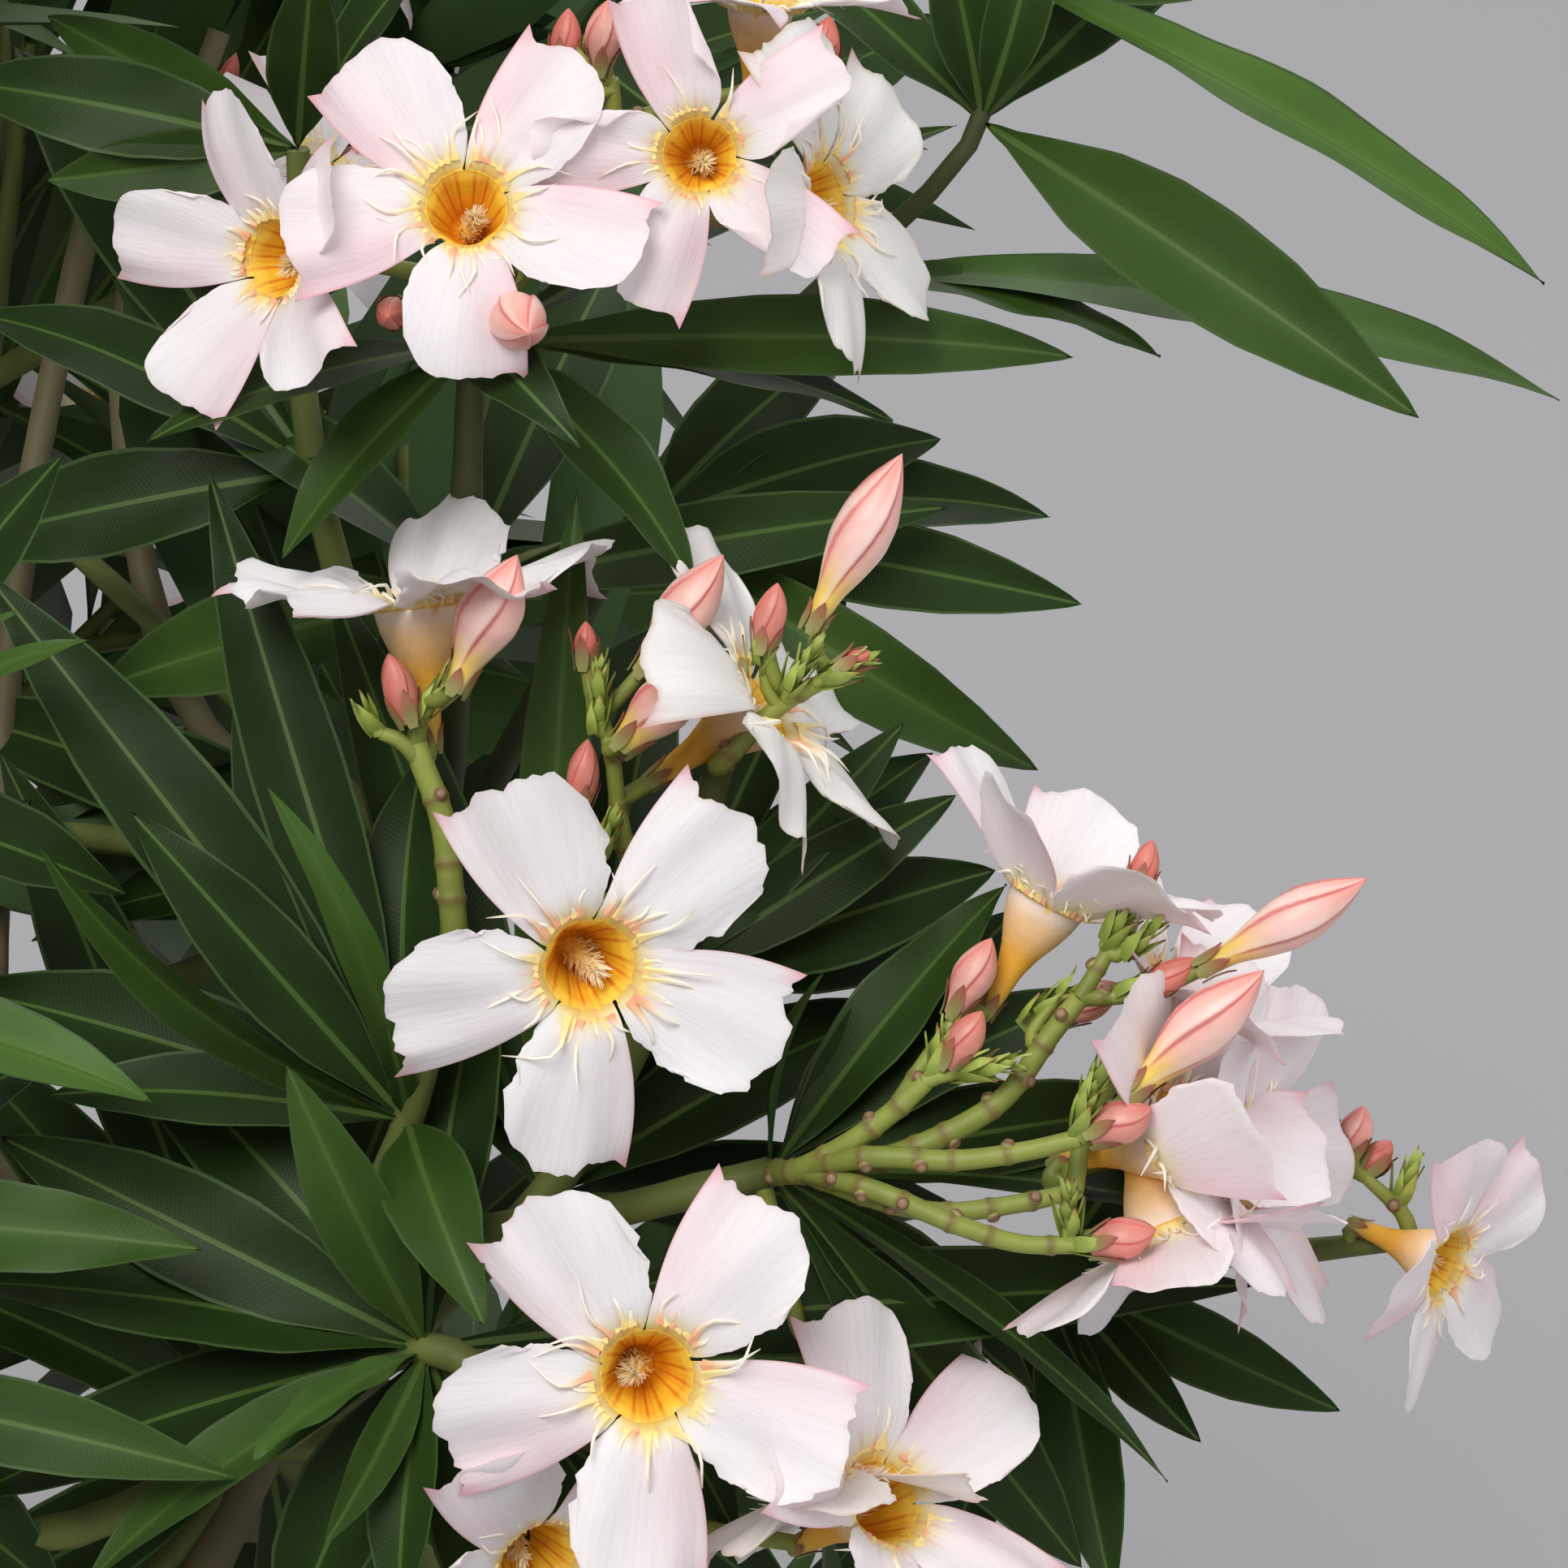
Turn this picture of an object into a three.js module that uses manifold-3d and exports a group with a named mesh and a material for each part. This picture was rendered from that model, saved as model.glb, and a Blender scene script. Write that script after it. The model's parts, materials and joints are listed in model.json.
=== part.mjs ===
// A potted oleander in flower: a plain round pot, its soil, the stems of one clump, a bough to each mass of
// foliage, and the masses, each with its own twigs, leaves and flower heads.
// Millimetres, +Z up. The origin is the centre of the pot's flat underside.

import * as THREE from "three";
import { mergeVertices } from "three/addons/utils/BufferGeometryUtils.js";
import Module from "manifold-3d";

const wasm = await Module();
wasm.setup();

// The driving sizes
const gap = 0.3;
const sliver = 0.02; // faces thinner than this are merged after a join or a cut
const pot = {
  height: 290,
  baseRadius: 116,
  mouthRadius: 156,
  rimRadius: 172,
  rimHeight: 44,
  wall: 11,
  floor: 16,
  soilDrop: 30,
  sides: 32,
};
const stem = {
  count: 6,
  firstTurn: -20,
  footRing: 30,
  tipRing: 80,
  tipHeight: 590,
  footRadius: 10.5,
  tipRadius: 6.5,
  flare: 4.5,
  flareLength: 30,
  sunk: 14,
  kneeHeight: 55,
  bow: 16,
  sides: 8,
  steps: 8,
};
const bough = { footRadius: 5.4, tipRadius: 3.6, sides: 6, steps: 5 };
const twig = { footRadius: 3.2, forkRadius: 2.8, tipRadius: 1.9, sides: 3, overrun: 3 };
const leaf = { length: 128, width: 29, thickness: 2.6, widestAt: 0.42, stagger: 5 };
const bloom = { radius: 25, notchRadius: 12, throatRadius: 6, tubeLength: 16, depth: 23, sunk: 2 };

// Each stem bears one bough in each tier. turn and rise are degrees, ring and height say where the bough
// ends, and from is the share of the stem's length at which it leaves. A staggered tier has every second
// bough that much further out and higher, and the others as much the other way.
const tiers = [
  { name: "low", turn: -14, ring: 205, height: 470, rise: 6, from: 0.42, reach: 62 },
  { name: "middle", turn: 18, ring: 215, height: 625, rise: 26, from: 0.66, reach: 66 },
  { name: "upper", turn: -20, ring: 165, height: 765, rise: 50, from: 0.8, reach: 70 },
  { name: "top", turn: 8, ring: 90, height: 860, rise: 74, from: 1, reach: 78, stagger: [26, -36] },
];

// The growth rule of a mass: a stem that forks in three, and leaves in whorls of three.
const growth = {
  twigLength: [92, 118],
  spread: [38, 50],
  lift: 0.28,
  whorlsAt: [0.42, 0.92],
  stemWhorlAt: 0.8,
  leafAngle: [50, 66],
  droop: [0.02, 0.16],
  shortLeaf: 0.7,
  flowering: 0.72,
  clearance: 2.5,
};

// The flowering side that faces a viewer is laid out by eye on a plane that leans back by tilt degrees.
// Its places are [right, up, away] in millimetres from centre, as they look from viewDistance.
const bestSide = { centre: [345, -150, 850], tilt: 28, viewDistance: 700 };

const degrees = THREE.MathUtils.DEG2RAD;
const soilTop = pot.height - pot.soilDrop;
const upward = new THREE.Vector3(0, 0, 1);

const bark = new THREE.MeshStandardMaterial({ color: 0x7a6a58, roughness: 0.85, metalness: 0 });
const foliage = new THREE.MeshStandardMaterial({ color: 0x2f5a2a, roughness: 0.5, metalness: 0 });
const clay = new THREE.MeshStandardMaterial({ color: 0xb5694a, roughness: 0.85, metalness: 0 });
const earth = new THREE.MeshStandardMaterial({ color: 0x3b2c22, roughness: 1, metalness: 0 });

// Numbers between low and high, the same in every run.
function seeded(seed) {
  let state = seed;
  return (low, high) => {
    state = (state * 1664525 + 1013904223) % 4294967296;
    return low + ((high - low) * state) / 4294967296;
  };
}

function polar(ring, turn, height) {
  return new THREE.Vector3(ring * Math.cos(turn * degrees), ring * Math.sin(turn * degrees), height);
}

// The direction at that turn and rise.
function heading(turn, rise) {
  return polar(Math.cos(rise * degrees), turn, Math.sin(rise * degrees));
}

// A place on the best side, as a point of the plant's own frame.
function onBestSide([right, up, away]) {
  const lean = bestSide.tilt * degrees;
  const scale = (bestSide.viewDistance + away) / bestSide.viewDistance;
  return new THREE.Vector3(...bestSide.centre)
    .addScaledVector(new THREE.Vector3(1, 0, 0), right * scale)
    .addScaledVector(new THREE.Vector3(0, Math.sin(lean), Math.cos(lean)), up * scale)
    .addScaledVector(new THREE.Vector3(0, Math.cos(lean), -Math.sin(lean)), away);
}

// Two directions square to axis and to each other; the first is level.
function squareTo(axis) {
  const level = new THREE.Vector3().crossVectors(upward, axis);
  if (level.length() < 1e-3) level.set(1, 0, 0);
  level.normalize();
  return [level, new THREE.Vector3().crossVectors(axis, level).normalize()];
}

// axis tipped over by angle towards the side at that turn, in degrees.
function tipped(axis, angle, turn) {
  const [level, rising] = squareTo(axis);
  return axis
    .clone()
    .multiplyScalar(Math.cos(angle * degrees))
    .addScaledVector(level, Math.sin(angle * degrees) * Math.cos(turn * degrees))
    .addScaledVector(rising, Math.sin(angle * degrees) * Math.sin(turn * degrees))
    .normalize();
}

// A closed geometry as a manifold-3d solid.
function solidOf(geometry) {
  const bare = geometry.clone();
  bare.deleteAttribute("normal");
  bare.deleteAttribute("uv");
  const merged = mergeVertices(bare, 1e-4);
  return new wasm.Manifold(
    new wasm.Mesh({
      numProp: 3,
      vertProperties: merged.attributes.position.array,
      triVerts: new Uint32Array(merged.index.array),
    }),
  );
}

function meshOf(name, solid, material) {
  const made = solid.asOriginal().simplify(sliver).getMesh();
  const geometry = new THREE.BufferGeometry();
  geometry.setAttribute("position", new THREE.BufferAttribute(made.vertProperties, 3));
  geometry.setIndex(new THREE.BufferAttribute(made.triVerts, 1));
  geometry.computeVertexNormals();
  const mesh = new THREE.Mesh(geometry, material);
  mesh.name = name;
  return mesh;
}

// Moves each vertex of a geometry to where place says.
function reshape(geometry, place) {
  const position = geometry.attributes.position;
  const point = new THREE.Vector3();
  for (let i = 0; i < position.count; i++) {
    point.copy(place(new THREE.Vector3().fromBufferAttribute(position, i)));
    position.setXYZ(i, point.x, point.y, point.z);
  }
  return geometry;
}

// A tapering limb: a cylinder bent along the curve, with the radius that radiusAt gives.
function limb(curve, radiusAt, sides, steps) {
  const frames = curve.computeFrenetFrames(steps, false);
  const stations = curve.getSpacedPoints(steps);
  const rod = new THREE.CylinderGeometry(1, 1, 1, sides, steps);
  return reshape(rod, (p) => {
    const k = Math.round((p.y + 0.5) * steps);
    const radius = radiusAt(k / steps);
    return stations[k]
      .clone()
      .addScaledVector(frames.normals[k], p.x * radius)
      .addScaledVector(frames.binormals[k], -p.z * radius);
  });
}

function taper(from, to) {
  return (share) => from + (to - from) * share;
}

// A blade from base to tip: an octahedron drawn out to a lance shape, its upper side towards facing.
function blade(base, tip, width, thickness, facing) {
  const along = tip.clone().sub(base);
  const across = new THREE.Vector3().crossVectors(along, facing).normalize();
  const upperSide = new THREE.Vector3().crossVectors(across, along).normalize();
  const belly = base.clone().addScaledVector(along, leaf.widestAt);
  return reshape(new THREE.OctahedronGeometry(1, 0), (p) => {
    if (p.y > 0.5) return tip;
    if (p.y < -0.5) return base;
    return belly
      .clone()
      .addScaledVector(across, (p.x * width) / 2)
      .addScaledVector(upperSide, (p.z * thickness) / 2);
  });
}

// A single bloom: a funnel whose rim runs out into five petals.
function bloomShape(foot, facing) {
  const { radius, notchRadius, throatRadius, tubeLength, depth } = bloom;
  const profile = [
    new THREE.Vector2(0, 0),
    new THREE.Vector2(throatRadius, tubeLength),
    new THREE.Vector2(1, depth),
    new THREE.Vector2(0, tubeLength + 1),
  ];
  const turned = new THREE.LatheGeometry(profile, 10);
  const rim = reshape(turned, (p) => {
    if (Math.abs(p.y - depth) > 0.5) return p;
    const tenth = Math.round(Math.atan2(p.z, p.x) / (Math.PI / 5));
    const reach = tenth % 2 === 0 ? radius : notchRadius;
    return new THREE.Vector3(p.x * reach, p.y, p.z * reach);
  });
  const turn = new THREE.Quaternion().setFromUnitVectors(new THREE.Vector3(0, 1, 0), facing);
  return rim.applyQuaternion(turn).translate(foot.x, foot.y, foot.z);
}

// Pot and soil
function potSolid() {
  const { height, baseRadius, mouthRadius, rimRadius, rimHeight, wall, floor, sides } = pot;
  const under = height - rimHeight;
  const wallAt = (z) => baseRadius + ((mouthRadius - baseRadius) * z) / height;
  const profile = [
    [0, 0],
    [baseRadius, 0],
    [wallAt(under), under],
    [rimRadius - 4, under + 4],
    [rimRadius, height - 4],
    [rimRadius - 4, height],
    [mouthRadius - wall + 3, height],
    [mouthRadius - wall, height - 4],
    [wallAt(floor) - wall, floor],
    [0, floor],
  ].map(([x, y]) => new THREE.Vector2(x, y));
  return solidOf(new THREE.LatheGeometry(profile, sides).rotateX(Math.PI / 2));
}

function soilSolid() {
  const { height, baseRadius, mouthRadius, wall, floor, sides } = pot;
  const foot = floor + gap;
  const insideAt = (z) => {
    const low = baseRadius + ((mouthRadius - baseRadius) * floor) / height - wall;
    return low + ((mouthRadius - wall - low) * (z - floor)) / (height - 4 - floor) - 2 * gap;
  };
  const profile = [
    [0, foot],
    [insideAt(foot), foot],
    [insideAt(soilTop), soilTop],
    [0, soilTop],
  ].map(([x, y]) => new THREE.Vector2(x, y));
  return solidOf(new THREE.LatheGeometry(profile, sides).rotateX(Math.PI / 2));
}

// Stems: one clump from one root, each leaning out from the pot's middle.
function makeStems() {
  const made = [];
  for (let i = 0; i < stem.count; i++) {
    const random = seeded(101 + i);
    const turn = stem.firstTurn + (360 / stem.count) * i + random(-5, 5);
    const foot = polar(stem.footRing, turn, soilTop - stem.sunk);
    const tip = polar(stem.tipRing + random(-6, 6), turn, stem.tipHeight + random(-22, 22));
    const middle = foot.clone().lerp(tip, 0.5).add(polar(-stem.bow, turn + random(-30, 30), 0));
    const knee = foot.clone().lerp(middle, 0.35).setZ(soilTop + stem.kneeHeight);
    const curve = new THREE.CatmullRomCurve3([foot, knee, middle, tip]);
    const length = curve.getLength();
    const flareAt = (share) => stem.flare * Math.exp((-share * length) / stem.flareLength);
    const radiusAt = (share) => taper(stem.footRadius, stem.tipRadius)(share) + flareAt(share);
    made.push({ index: i, turn, curve, radiusAt });
  }
  return made;
}

// A stem as a solid, cut flat just above the soil.
function stemSolid(s) {
  return solidOf(limb(s.curve, s.radiusAt, stem.sides, stem.steps)).trimByPlane([0, 0, 1], soilTop + gap);
}

// Boughs: one from each stem in each tier, ending where its mass of foliage begins.
function makeBoughs(stems) {
  const made = [];
  for (const parent of stems) {
    for (const tier of tiers) {
      const random = seeded(1000 * (parent.index + 1) + tier.height);
      const place = bestSideMasses[`${parent.index + 1}_${tier.name}`];
      const turn = parent.turn + tier.turn + random(-5, 5);
      const side = parent.index % 2 === 0 ? 1 : -1;
      const [outwards, upwards] = (tier.stagger ?? [0, 0]).map((shift) => side * shift);
      const ring = tier.ring + outwards + random(-12, 12);
      const end = polar(ring, turn, tier.height + upwards + random(-18, 18));
      const heads = heading(turn, tier.rise);
      if (place) {
        end.copy(onBestSide(place.end));
        heads.copy(onBestSide(place.towards)).sub(end).normalize();
      }
      const start = parent.curve.getPointAt(tier.from);
      const leaves = parent.curve.getTangentAt(tier.from);
      if (tier.from === 1) start.addScaledVector(leaves, gap);
      else leaves.multiplyScalar(0.45).add(heading(turn, tier.rise / 2)).normalize();
      const reach = start.distanceTo(end);
      const curve = new THREE.CubicBezierCurve3(
        start,
        start.clone().addScaledVector(leaves, reach * 0.3),
        end.clone().addScaledVector(heads, -reach * 0.3),
        end,
      );
      const name = `${parent.index + 1}_${tier.name}`;
      const seed = 7000 * (parent.index + 1) + tier.height;
      const radiusAt = taper(bough.footRadius, bough.tipRadius);
      made.push({ name, seed, parent, tier, curve, end, heads, place, radiusAt });
    }
  }
  return made;
}

function inflated(source, sides, steps) {
  return solidOf(limb(source.curve, (share) => source.radiusAt(share) + gap, sides, steps));
}

function boughSolid(b) {
  const whole = solidOf(limb(b.curve, b.radiusAt, bough.sides, bough.steps));
  if (b.tier.from === 1) return whole;
  return whole.subtract(inflated(b.parent, stem.sides, stem.steps));
}

// The point nearest to a given one, on the line between two others and in a list.
function closestOnLine(point, from, to) {
  return new THREE.Line3(from, to).closestPointToPoint(point, true, new THREE.Vector3());
}

function nearest(point, places) {
  return places.reduce((best, p) => (p.distanceTo(point) < best.distanceTo(point) ? p : best));
}

// The test that keeps a mass in its own space: nearer to its own heart than to any other, clear of limbs and
// pot, and clear of the spots that the masses set out by hand have taken.
function makeFits(boughs, limbs, taken) {
  const rods = limbs.flatMap((l) => {
    const spots = l.curve.getSpacedPoints(24);
    return spots.map((at, k) => ({ at, radius: l.radiusAt(k / 24) }));
  });
  rods.push(...taken);
  return (own, points, halfWidth) =>
    points.every((p) => {
      const distanceTo = (b) => closestOnLine(p, b.end, b.heart).distanceTo(p);
      const limit = distanceTo(own) + growth.clearance;
      if (boughs.some((b) => b !== own && distanceTo(b) < limit)) return false;
      if (rods.some((r) => r.at.distanceTo(p) < r.radius + halfWidth + 4)) return false;
      const overPot = Math.hypot(p.x, p.y) < pot.rimRadius + 8;
      return !(overPot && p.z < pot.height + 8);
    });
}

// The room that a mass's pieces take up, as balls.
function spotsOf({ rods, leaves, heads }) {
  const ballsAlong = (from, to, count, radius) => pointsAlong(from, to, count).map((at) => ({ at, radius }));
  return [
    ...rods.flatMap(({ from, to }) => ballsAlong(from, to, 8, twig.footRadius)),
    ...leaves.flatMap(({ base, tip }) => ballsAlong(base, tip, 7, leaf.width / 2)),
    ...heads.flatMap(({ at, axis }) => {
      const face = at.clone().addScaledVector(axis, bloom.depth);
      return ballsAlong(at, face, 2, bloom.radius);
    }),
  ];
}

function pointsAlong(from, to, count) {
  return Array.from({ length: count }, (_, k) => from.clone().lerp(to, (k + 1) / count));
}

// A place a little beyond to, so that what starts at to starts inside this twig.
function past(from, to) {
  return to.clone().add(to.clone().sub(from).setLength(twig.overrun));
}

// The growth of one mass as plain data: its rods, leaves and flower heads.
function growMass(own, fits) {
  const random = seeded(own.seed);
  const rods = [];
  const leaves = [];
  const heads = [];
  const addWhorl = (at, axis, phase) => {
    const open = random(...growth.leafAngle);
    const droop = random(...growth.droop);
    for (let j = 0; j < 3; j++) {
      const out = tipped(axis, open, phase + 120 * j);
      const grown = leaf.length * random(0.86, 1.06);
      for (const length of [grown, grown * growth.shortLeaf]) {
        const tip = at.clone().addScaledVector(out, length);
        tip.z -= droop * length;
        if (!fits(own, pointsAlong(at.clone().lerp(tip, 0.1), tip, 5), leaf.width / 4)) continue;
        leaves.push({ base: at.clone().addScaledVector(axis, leaf.stagger * (j - 1)), tip, facing: axis });
        break;
      }
    }
  };
  const foot = own.end.clone().addScaledVector(own.heads, gap);
  rods.push({ from: foot, to: past(foot, own.heart), radii: [twig.footRadius, twig.footRadius] });
  addWhorl(foot.clone().lerp(own.heart, growth.stemWhorlAt), own.heads, random(0, 120));
  const firstPhase = random(0, 120);
  for (let k = 0; k < 3; k++) {
    const phase = firstPhase + 120 * k + random(-12, 12);
    const out = tipped(own.heads, random(...growth.spread), phase);
    out.addScaledVector(upward, growth.lift).normalize();
    const end = own.heart.clone().addScaledVector(out, random(...growth.twigLength));
    const whorlPhase = random(0, 120);
    const flowers = random(0, 1) < growth.flowering;
    if (!fits(own, pointsAlong(own.heart, end, 5), twig.footRadius)) continue;
    rods.push({ from: own.heart, to: end, radii: [twig.forkRadius, twig.tipRadius] });
    growth.whorlsAt.forEach((share, w) => {
      addWhorl(own.heart.clone().lerp(end, share), out, whorlPhase + 60 * w);
    });
    if (flowers) heads.push({ at: end, axis: out });
  }
  return { rods, leaves, heads };
}

// The best side's two masses are set out by hand: twigs as runs of places, the leaves that show best by the
// place they grow from and the places of their tips, and blooms by the place and direction of their faces.
const bestSideMasses = {
  "1_upper": {
    end: [-52, -62, 92],
    towards: [-44, -12, 62],
    twigs: [
      [[-41, 25, 38], [-39.5, 56, 14], [-36, 67, 17]],
      [[-8, 50, 66], [25, 84, 56]],
    ],
    leaves: [
      { at: [-39.5, 56, 14], tips: [[-81, 43.5, 4], [-27, 42, -6], [14, 46, 24]] },
      { at: [-39.5, 56, 14], tips: [[37, 54, 42], [-66, 28, 36], [-100, 62, 40]] },
      { at: [-41, 25, 38], tips: [[38, 23, 54], [-88, 12, 58]] },
      { at: [25, 84, 56], tips: [[81, 47, 28], [97, 64, 56], [22, 112, 50], [56, 118, 70], [99, 49, 84]] },
      { at: [-8, 50, 66], tips: [[10, 80, 160], [-70, 100, 130]] },
      { at: [-44, -12, 62], tips: [[-110, 10, 130], [0, 0, 150]] },
    ],
    blooms: [
      { at: [-65, 67, 4], facing: [-0.5, -0.1, -0.85] },
      { at: [-40, 75, -6], facing: [-0.05, -0.1, -1] },
      { at: [-10.5, 81, -2], facing: [0.1, 0.05, -1] },
      { at: [6, 74, 10], facing: [0.9, -0.1, 0.1] },
    ],
  },
  "1_middle": {
    end: [-84, -122, 66],
    towards: [-66, -84, 44],
    twigs: [
      [[-48, -43, 18], [-42, -18, 7], [-43, 5, 5]],
      [[-30, -52, 26], [-16, -26, 22], [-8, 3, 10]],
      [[-30, -62, 34], [-2, -49, 20], [24, -45, 14]],
      [[-45, -72, 14], [-24, -84, 18]],
    ],
    leaves: [
      { at: [-48, -43, 18], tips: [[-102, 25, 24], [-73, 39, 26], [-66, 0, -6], [-95, -8, -10]] },
      { at: [-16, -26, 22], tips: [[22, -2, 26], [-26, 34, 28], [30, 4, 42]] },
      { at: [-2, -49, 20], tips: [[28, -13, 28], [68, -60, 32], [49, -89, 24], [71, -80, 60]] },
      { at: [-45, -72, 14], tips: [[-64, -36, -4], [-68, -86, -4], [-104, -64, 22]] },
      { at: [-45, -72, 14], tips: [[-89, -100, 8], [0, -112, 34]] },
      { at: [-66, -84, 44], tips: [[-150, -60, 110], [-60, -130, 130], [0, -60, 130]] },
    ],
    blooms: [
      { at: [-48, 27, 2], facing: [-0.25, 0.95, -0.1] },
      { at: [2, 17, 0], facing: [0.8, -0.2, -0.55] },
      { at: [-24, -23, -4], facing: [0, -0.05, -1] },
      { at: [35, -11, 6], facing: [0.45, 0.8, 0.3] },
      { at: [54, -38, 0], facing: [0.85, 0.1, -0.45] },
      { at: [58, -56, 10], facing: [0.5, -0.8, -0.2] },
      { at: [-18, -75, -4], facing: [0.05, -0.05, -1] },
      { at: [16, -88, 2], facing: [0.5, 0.35, -0.75] },
      { at: [-31, -99, -2], facing: [-0.1, -0.5, -0.85] },
    ],
  },
};

// The same plain data as growMass gives, from a mass that is set out by hand.
function placeMass(own) {
  const towardsViewer = onBestSide([0, 0, -1]).sub(onBestSide([0, 0, 0]));
  const foot = own.end.clone().addScaledVector(own.heads, gap);
  const fork = onBestSide(own.place.towards);
  const rods = [{ from: foot, to: past(foot, fork), radii: [twig.footRadius, twig.footRadius] }];
  for (const places of own.place.twigs) {
    const run = [fork, ...places.map(onBestSide)];
    const radiusAt = (k) => taper(twig.forkRadius, twig.tipRadius)(k / (run.length - 1));
    for (let k = 1; k < run.length; k++) {
      rods.push({ from: run[k - 1], to: past(run[k - 1], run[k]), radii: [radiusAt(k - 1), radiusAt(k)] });
    }
  }
  const twigs = rods.slice();
  const onTwig = (point) => nearest(point, twigs.map(({ from, to }) => closestOnLine(point, from, to)));
  const leaves = own.place.leaves.flatMap(({ at, tips }) =>
    tips.map((tip) => ({ base: onTwig(onBestSide(at)), tip: onBestSide(tip), facing: towardsViewer })),
  );
  const heads = own.place.blooms.map(({ at, facing }) => {
    const face = onBestSide(at);
    const axis = onBestSide(at.map((x, k) => x + facing[k])).sub(face).normalize();
    const bloomFoot = face.addScaledVector(axis, -bloom.depth);
    const root = onTwig(bloomFoot);
    rods.push({ from: root, to: past(root, bloomFoot), radii: [twig.tipRadius, twig.tipRadius] });
    return { at: bloomFoot, axis };
  });
  return { rods, leaves, heads };
}

const group = new THREE.Group();
group.name = "potted_oleander";
const stems = makeStems();
const boughs = makeBoughs(stems);
for (const b of boughs) b.heart = b.end.clone().addScaledVector(b.heads, b.tier.reach);
const placed = new Map(boughs.filter((b) => b.place).map((b) => [b, placeMass(b)]));
const fits = makeFits(boughs, [...stems, ...boughs], [...placed.values()].flatMap(spotsOf));

function rodSolid({ from, to, radii }) {
  return solidOf(limb(new THREE.LineCurve3(from, to), taper(...radii), twig.sides, 1));
}

function massSolid(grown) {
  const pieces = grown.rods.map(rodSolid);
  for (const l of grown.leaves) {
    pieces.push(solidOf(blade(l.base, l.tip, leaf.width, leaf.thickness, l.facing)));
  }
  for (const h of grown.heads) {
    pieces.push(solidOf(bloomShape(h.at.clone().addScaledVector(h.axis, -bloom.sunk), h.axis)));
  }
  return wasm.Manifold.union(pieces);
}

group.add(meshOf("pot", potSolid(), clay));
group.add(meshOf("soil", soilSolid(), earth));
for (const s of stems) {
  group.add(meshOf(`stem_${s.index + 1}`, stemSolid(s), bark));
}
for (const b of boughs) group.add(meshOf(`bough_${b.name}`, boughSolid(b), bark));
for (const b of boughs) {
  group.add(meshOf(`mass_${b.name}`, massSolid(placed.get(b) ?? growMass(b, fits)), foliage));
}

export default group;
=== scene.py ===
import bmesh
import bpy
import json
import math
import numpy as np
from mathutils import Matrix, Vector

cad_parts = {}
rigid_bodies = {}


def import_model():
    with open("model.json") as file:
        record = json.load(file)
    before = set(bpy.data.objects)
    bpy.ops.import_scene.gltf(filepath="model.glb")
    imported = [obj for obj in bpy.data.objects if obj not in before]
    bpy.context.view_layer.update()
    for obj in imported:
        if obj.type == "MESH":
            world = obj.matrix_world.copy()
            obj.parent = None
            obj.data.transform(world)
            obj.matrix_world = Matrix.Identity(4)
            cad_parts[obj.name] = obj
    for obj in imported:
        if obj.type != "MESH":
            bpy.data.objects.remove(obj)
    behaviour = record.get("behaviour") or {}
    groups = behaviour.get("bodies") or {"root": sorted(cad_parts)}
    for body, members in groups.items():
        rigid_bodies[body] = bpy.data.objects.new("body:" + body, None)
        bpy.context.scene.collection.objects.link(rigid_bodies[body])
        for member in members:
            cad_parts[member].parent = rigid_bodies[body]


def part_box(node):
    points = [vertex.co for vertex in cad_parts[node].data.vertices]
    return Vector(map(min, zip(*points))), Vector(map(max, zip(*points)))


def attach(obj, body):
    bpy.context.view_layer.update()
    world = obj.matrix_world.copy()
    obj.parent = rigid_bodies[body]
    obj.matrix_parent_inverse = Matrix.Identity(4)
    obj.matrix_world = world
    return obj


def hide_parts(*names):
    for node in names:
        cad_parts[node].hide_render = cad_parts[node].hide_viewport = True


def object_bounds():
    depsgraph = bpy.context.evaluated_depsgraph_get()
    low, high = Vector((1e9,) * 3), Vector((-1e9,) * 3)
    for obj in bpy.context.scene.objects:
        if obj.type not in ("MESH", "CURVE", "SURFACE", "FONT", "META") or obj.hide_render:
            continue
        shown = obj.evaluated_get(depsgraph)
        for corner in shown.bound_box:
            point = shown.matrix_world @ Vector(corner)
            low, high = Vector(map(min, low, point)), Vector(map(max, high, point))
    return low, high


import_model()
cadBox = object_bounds()
lowCorner, highCorner = (np.array(corner, float) for corner in cadBox)

# Sizes are in millimetres until a mesh is made.
millimetre = 0.001
upward = np.array([0.0, 0.0, 1.0])
boxMargin = 0.0001
creaseAngle = 55


# Helpers: numbers, directions and curves
def seeded(seed):
    state = seed

    def draw(low, high):
        nonlocal state
        state = (state * 1664525 + 1013904223) % 4294967296
        return low + (high - low) * state / 4294967296

    return draw


def unit(v):
    return v / np.linalg.norm(v)


def units(v):
    return v / np.maximum(np.linalg.norm(v, axis=-1, keepdims=True), 1e-9)


def polar(ring, turn, height):
    angle = math.radians(turn)
    return np.array([ring * math.cos(angle), ring * math.sin(angle), height])


def heading(turn, rise):
    return polar(math.cos(math.radians(rise)), turn, math.sin(math.radians(rise)))


def squareTo(axis):
    level = np.cross(upward, axis)
    if np.linalg.norm(level) < 1e-3:
        level = np.array([1.0, 0.0, 0.0])
    level = unit(level)
    return level, unit(np.cross(axis, level))


def tipped(axis, angle, turn):
    level, rising = squareTo(axis)
    lean, around = math.radians(angle), math.radians(turn)
    sideways = level * math.cos(around) + rising * math.sin(around)
    return unit(axis * math.cos(lean) + sideways * math.sin(lean))


def ease(low, high, x):
    share = np.clip((np.asarray(x, float) - low) / (high - low), 0, 1)
    return share * share * (3 - 2 * share)


def mixed(a, b, share):
    return np.asarray(a, float) * (1 - share) + np.asarray(b, float) * share


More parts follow.
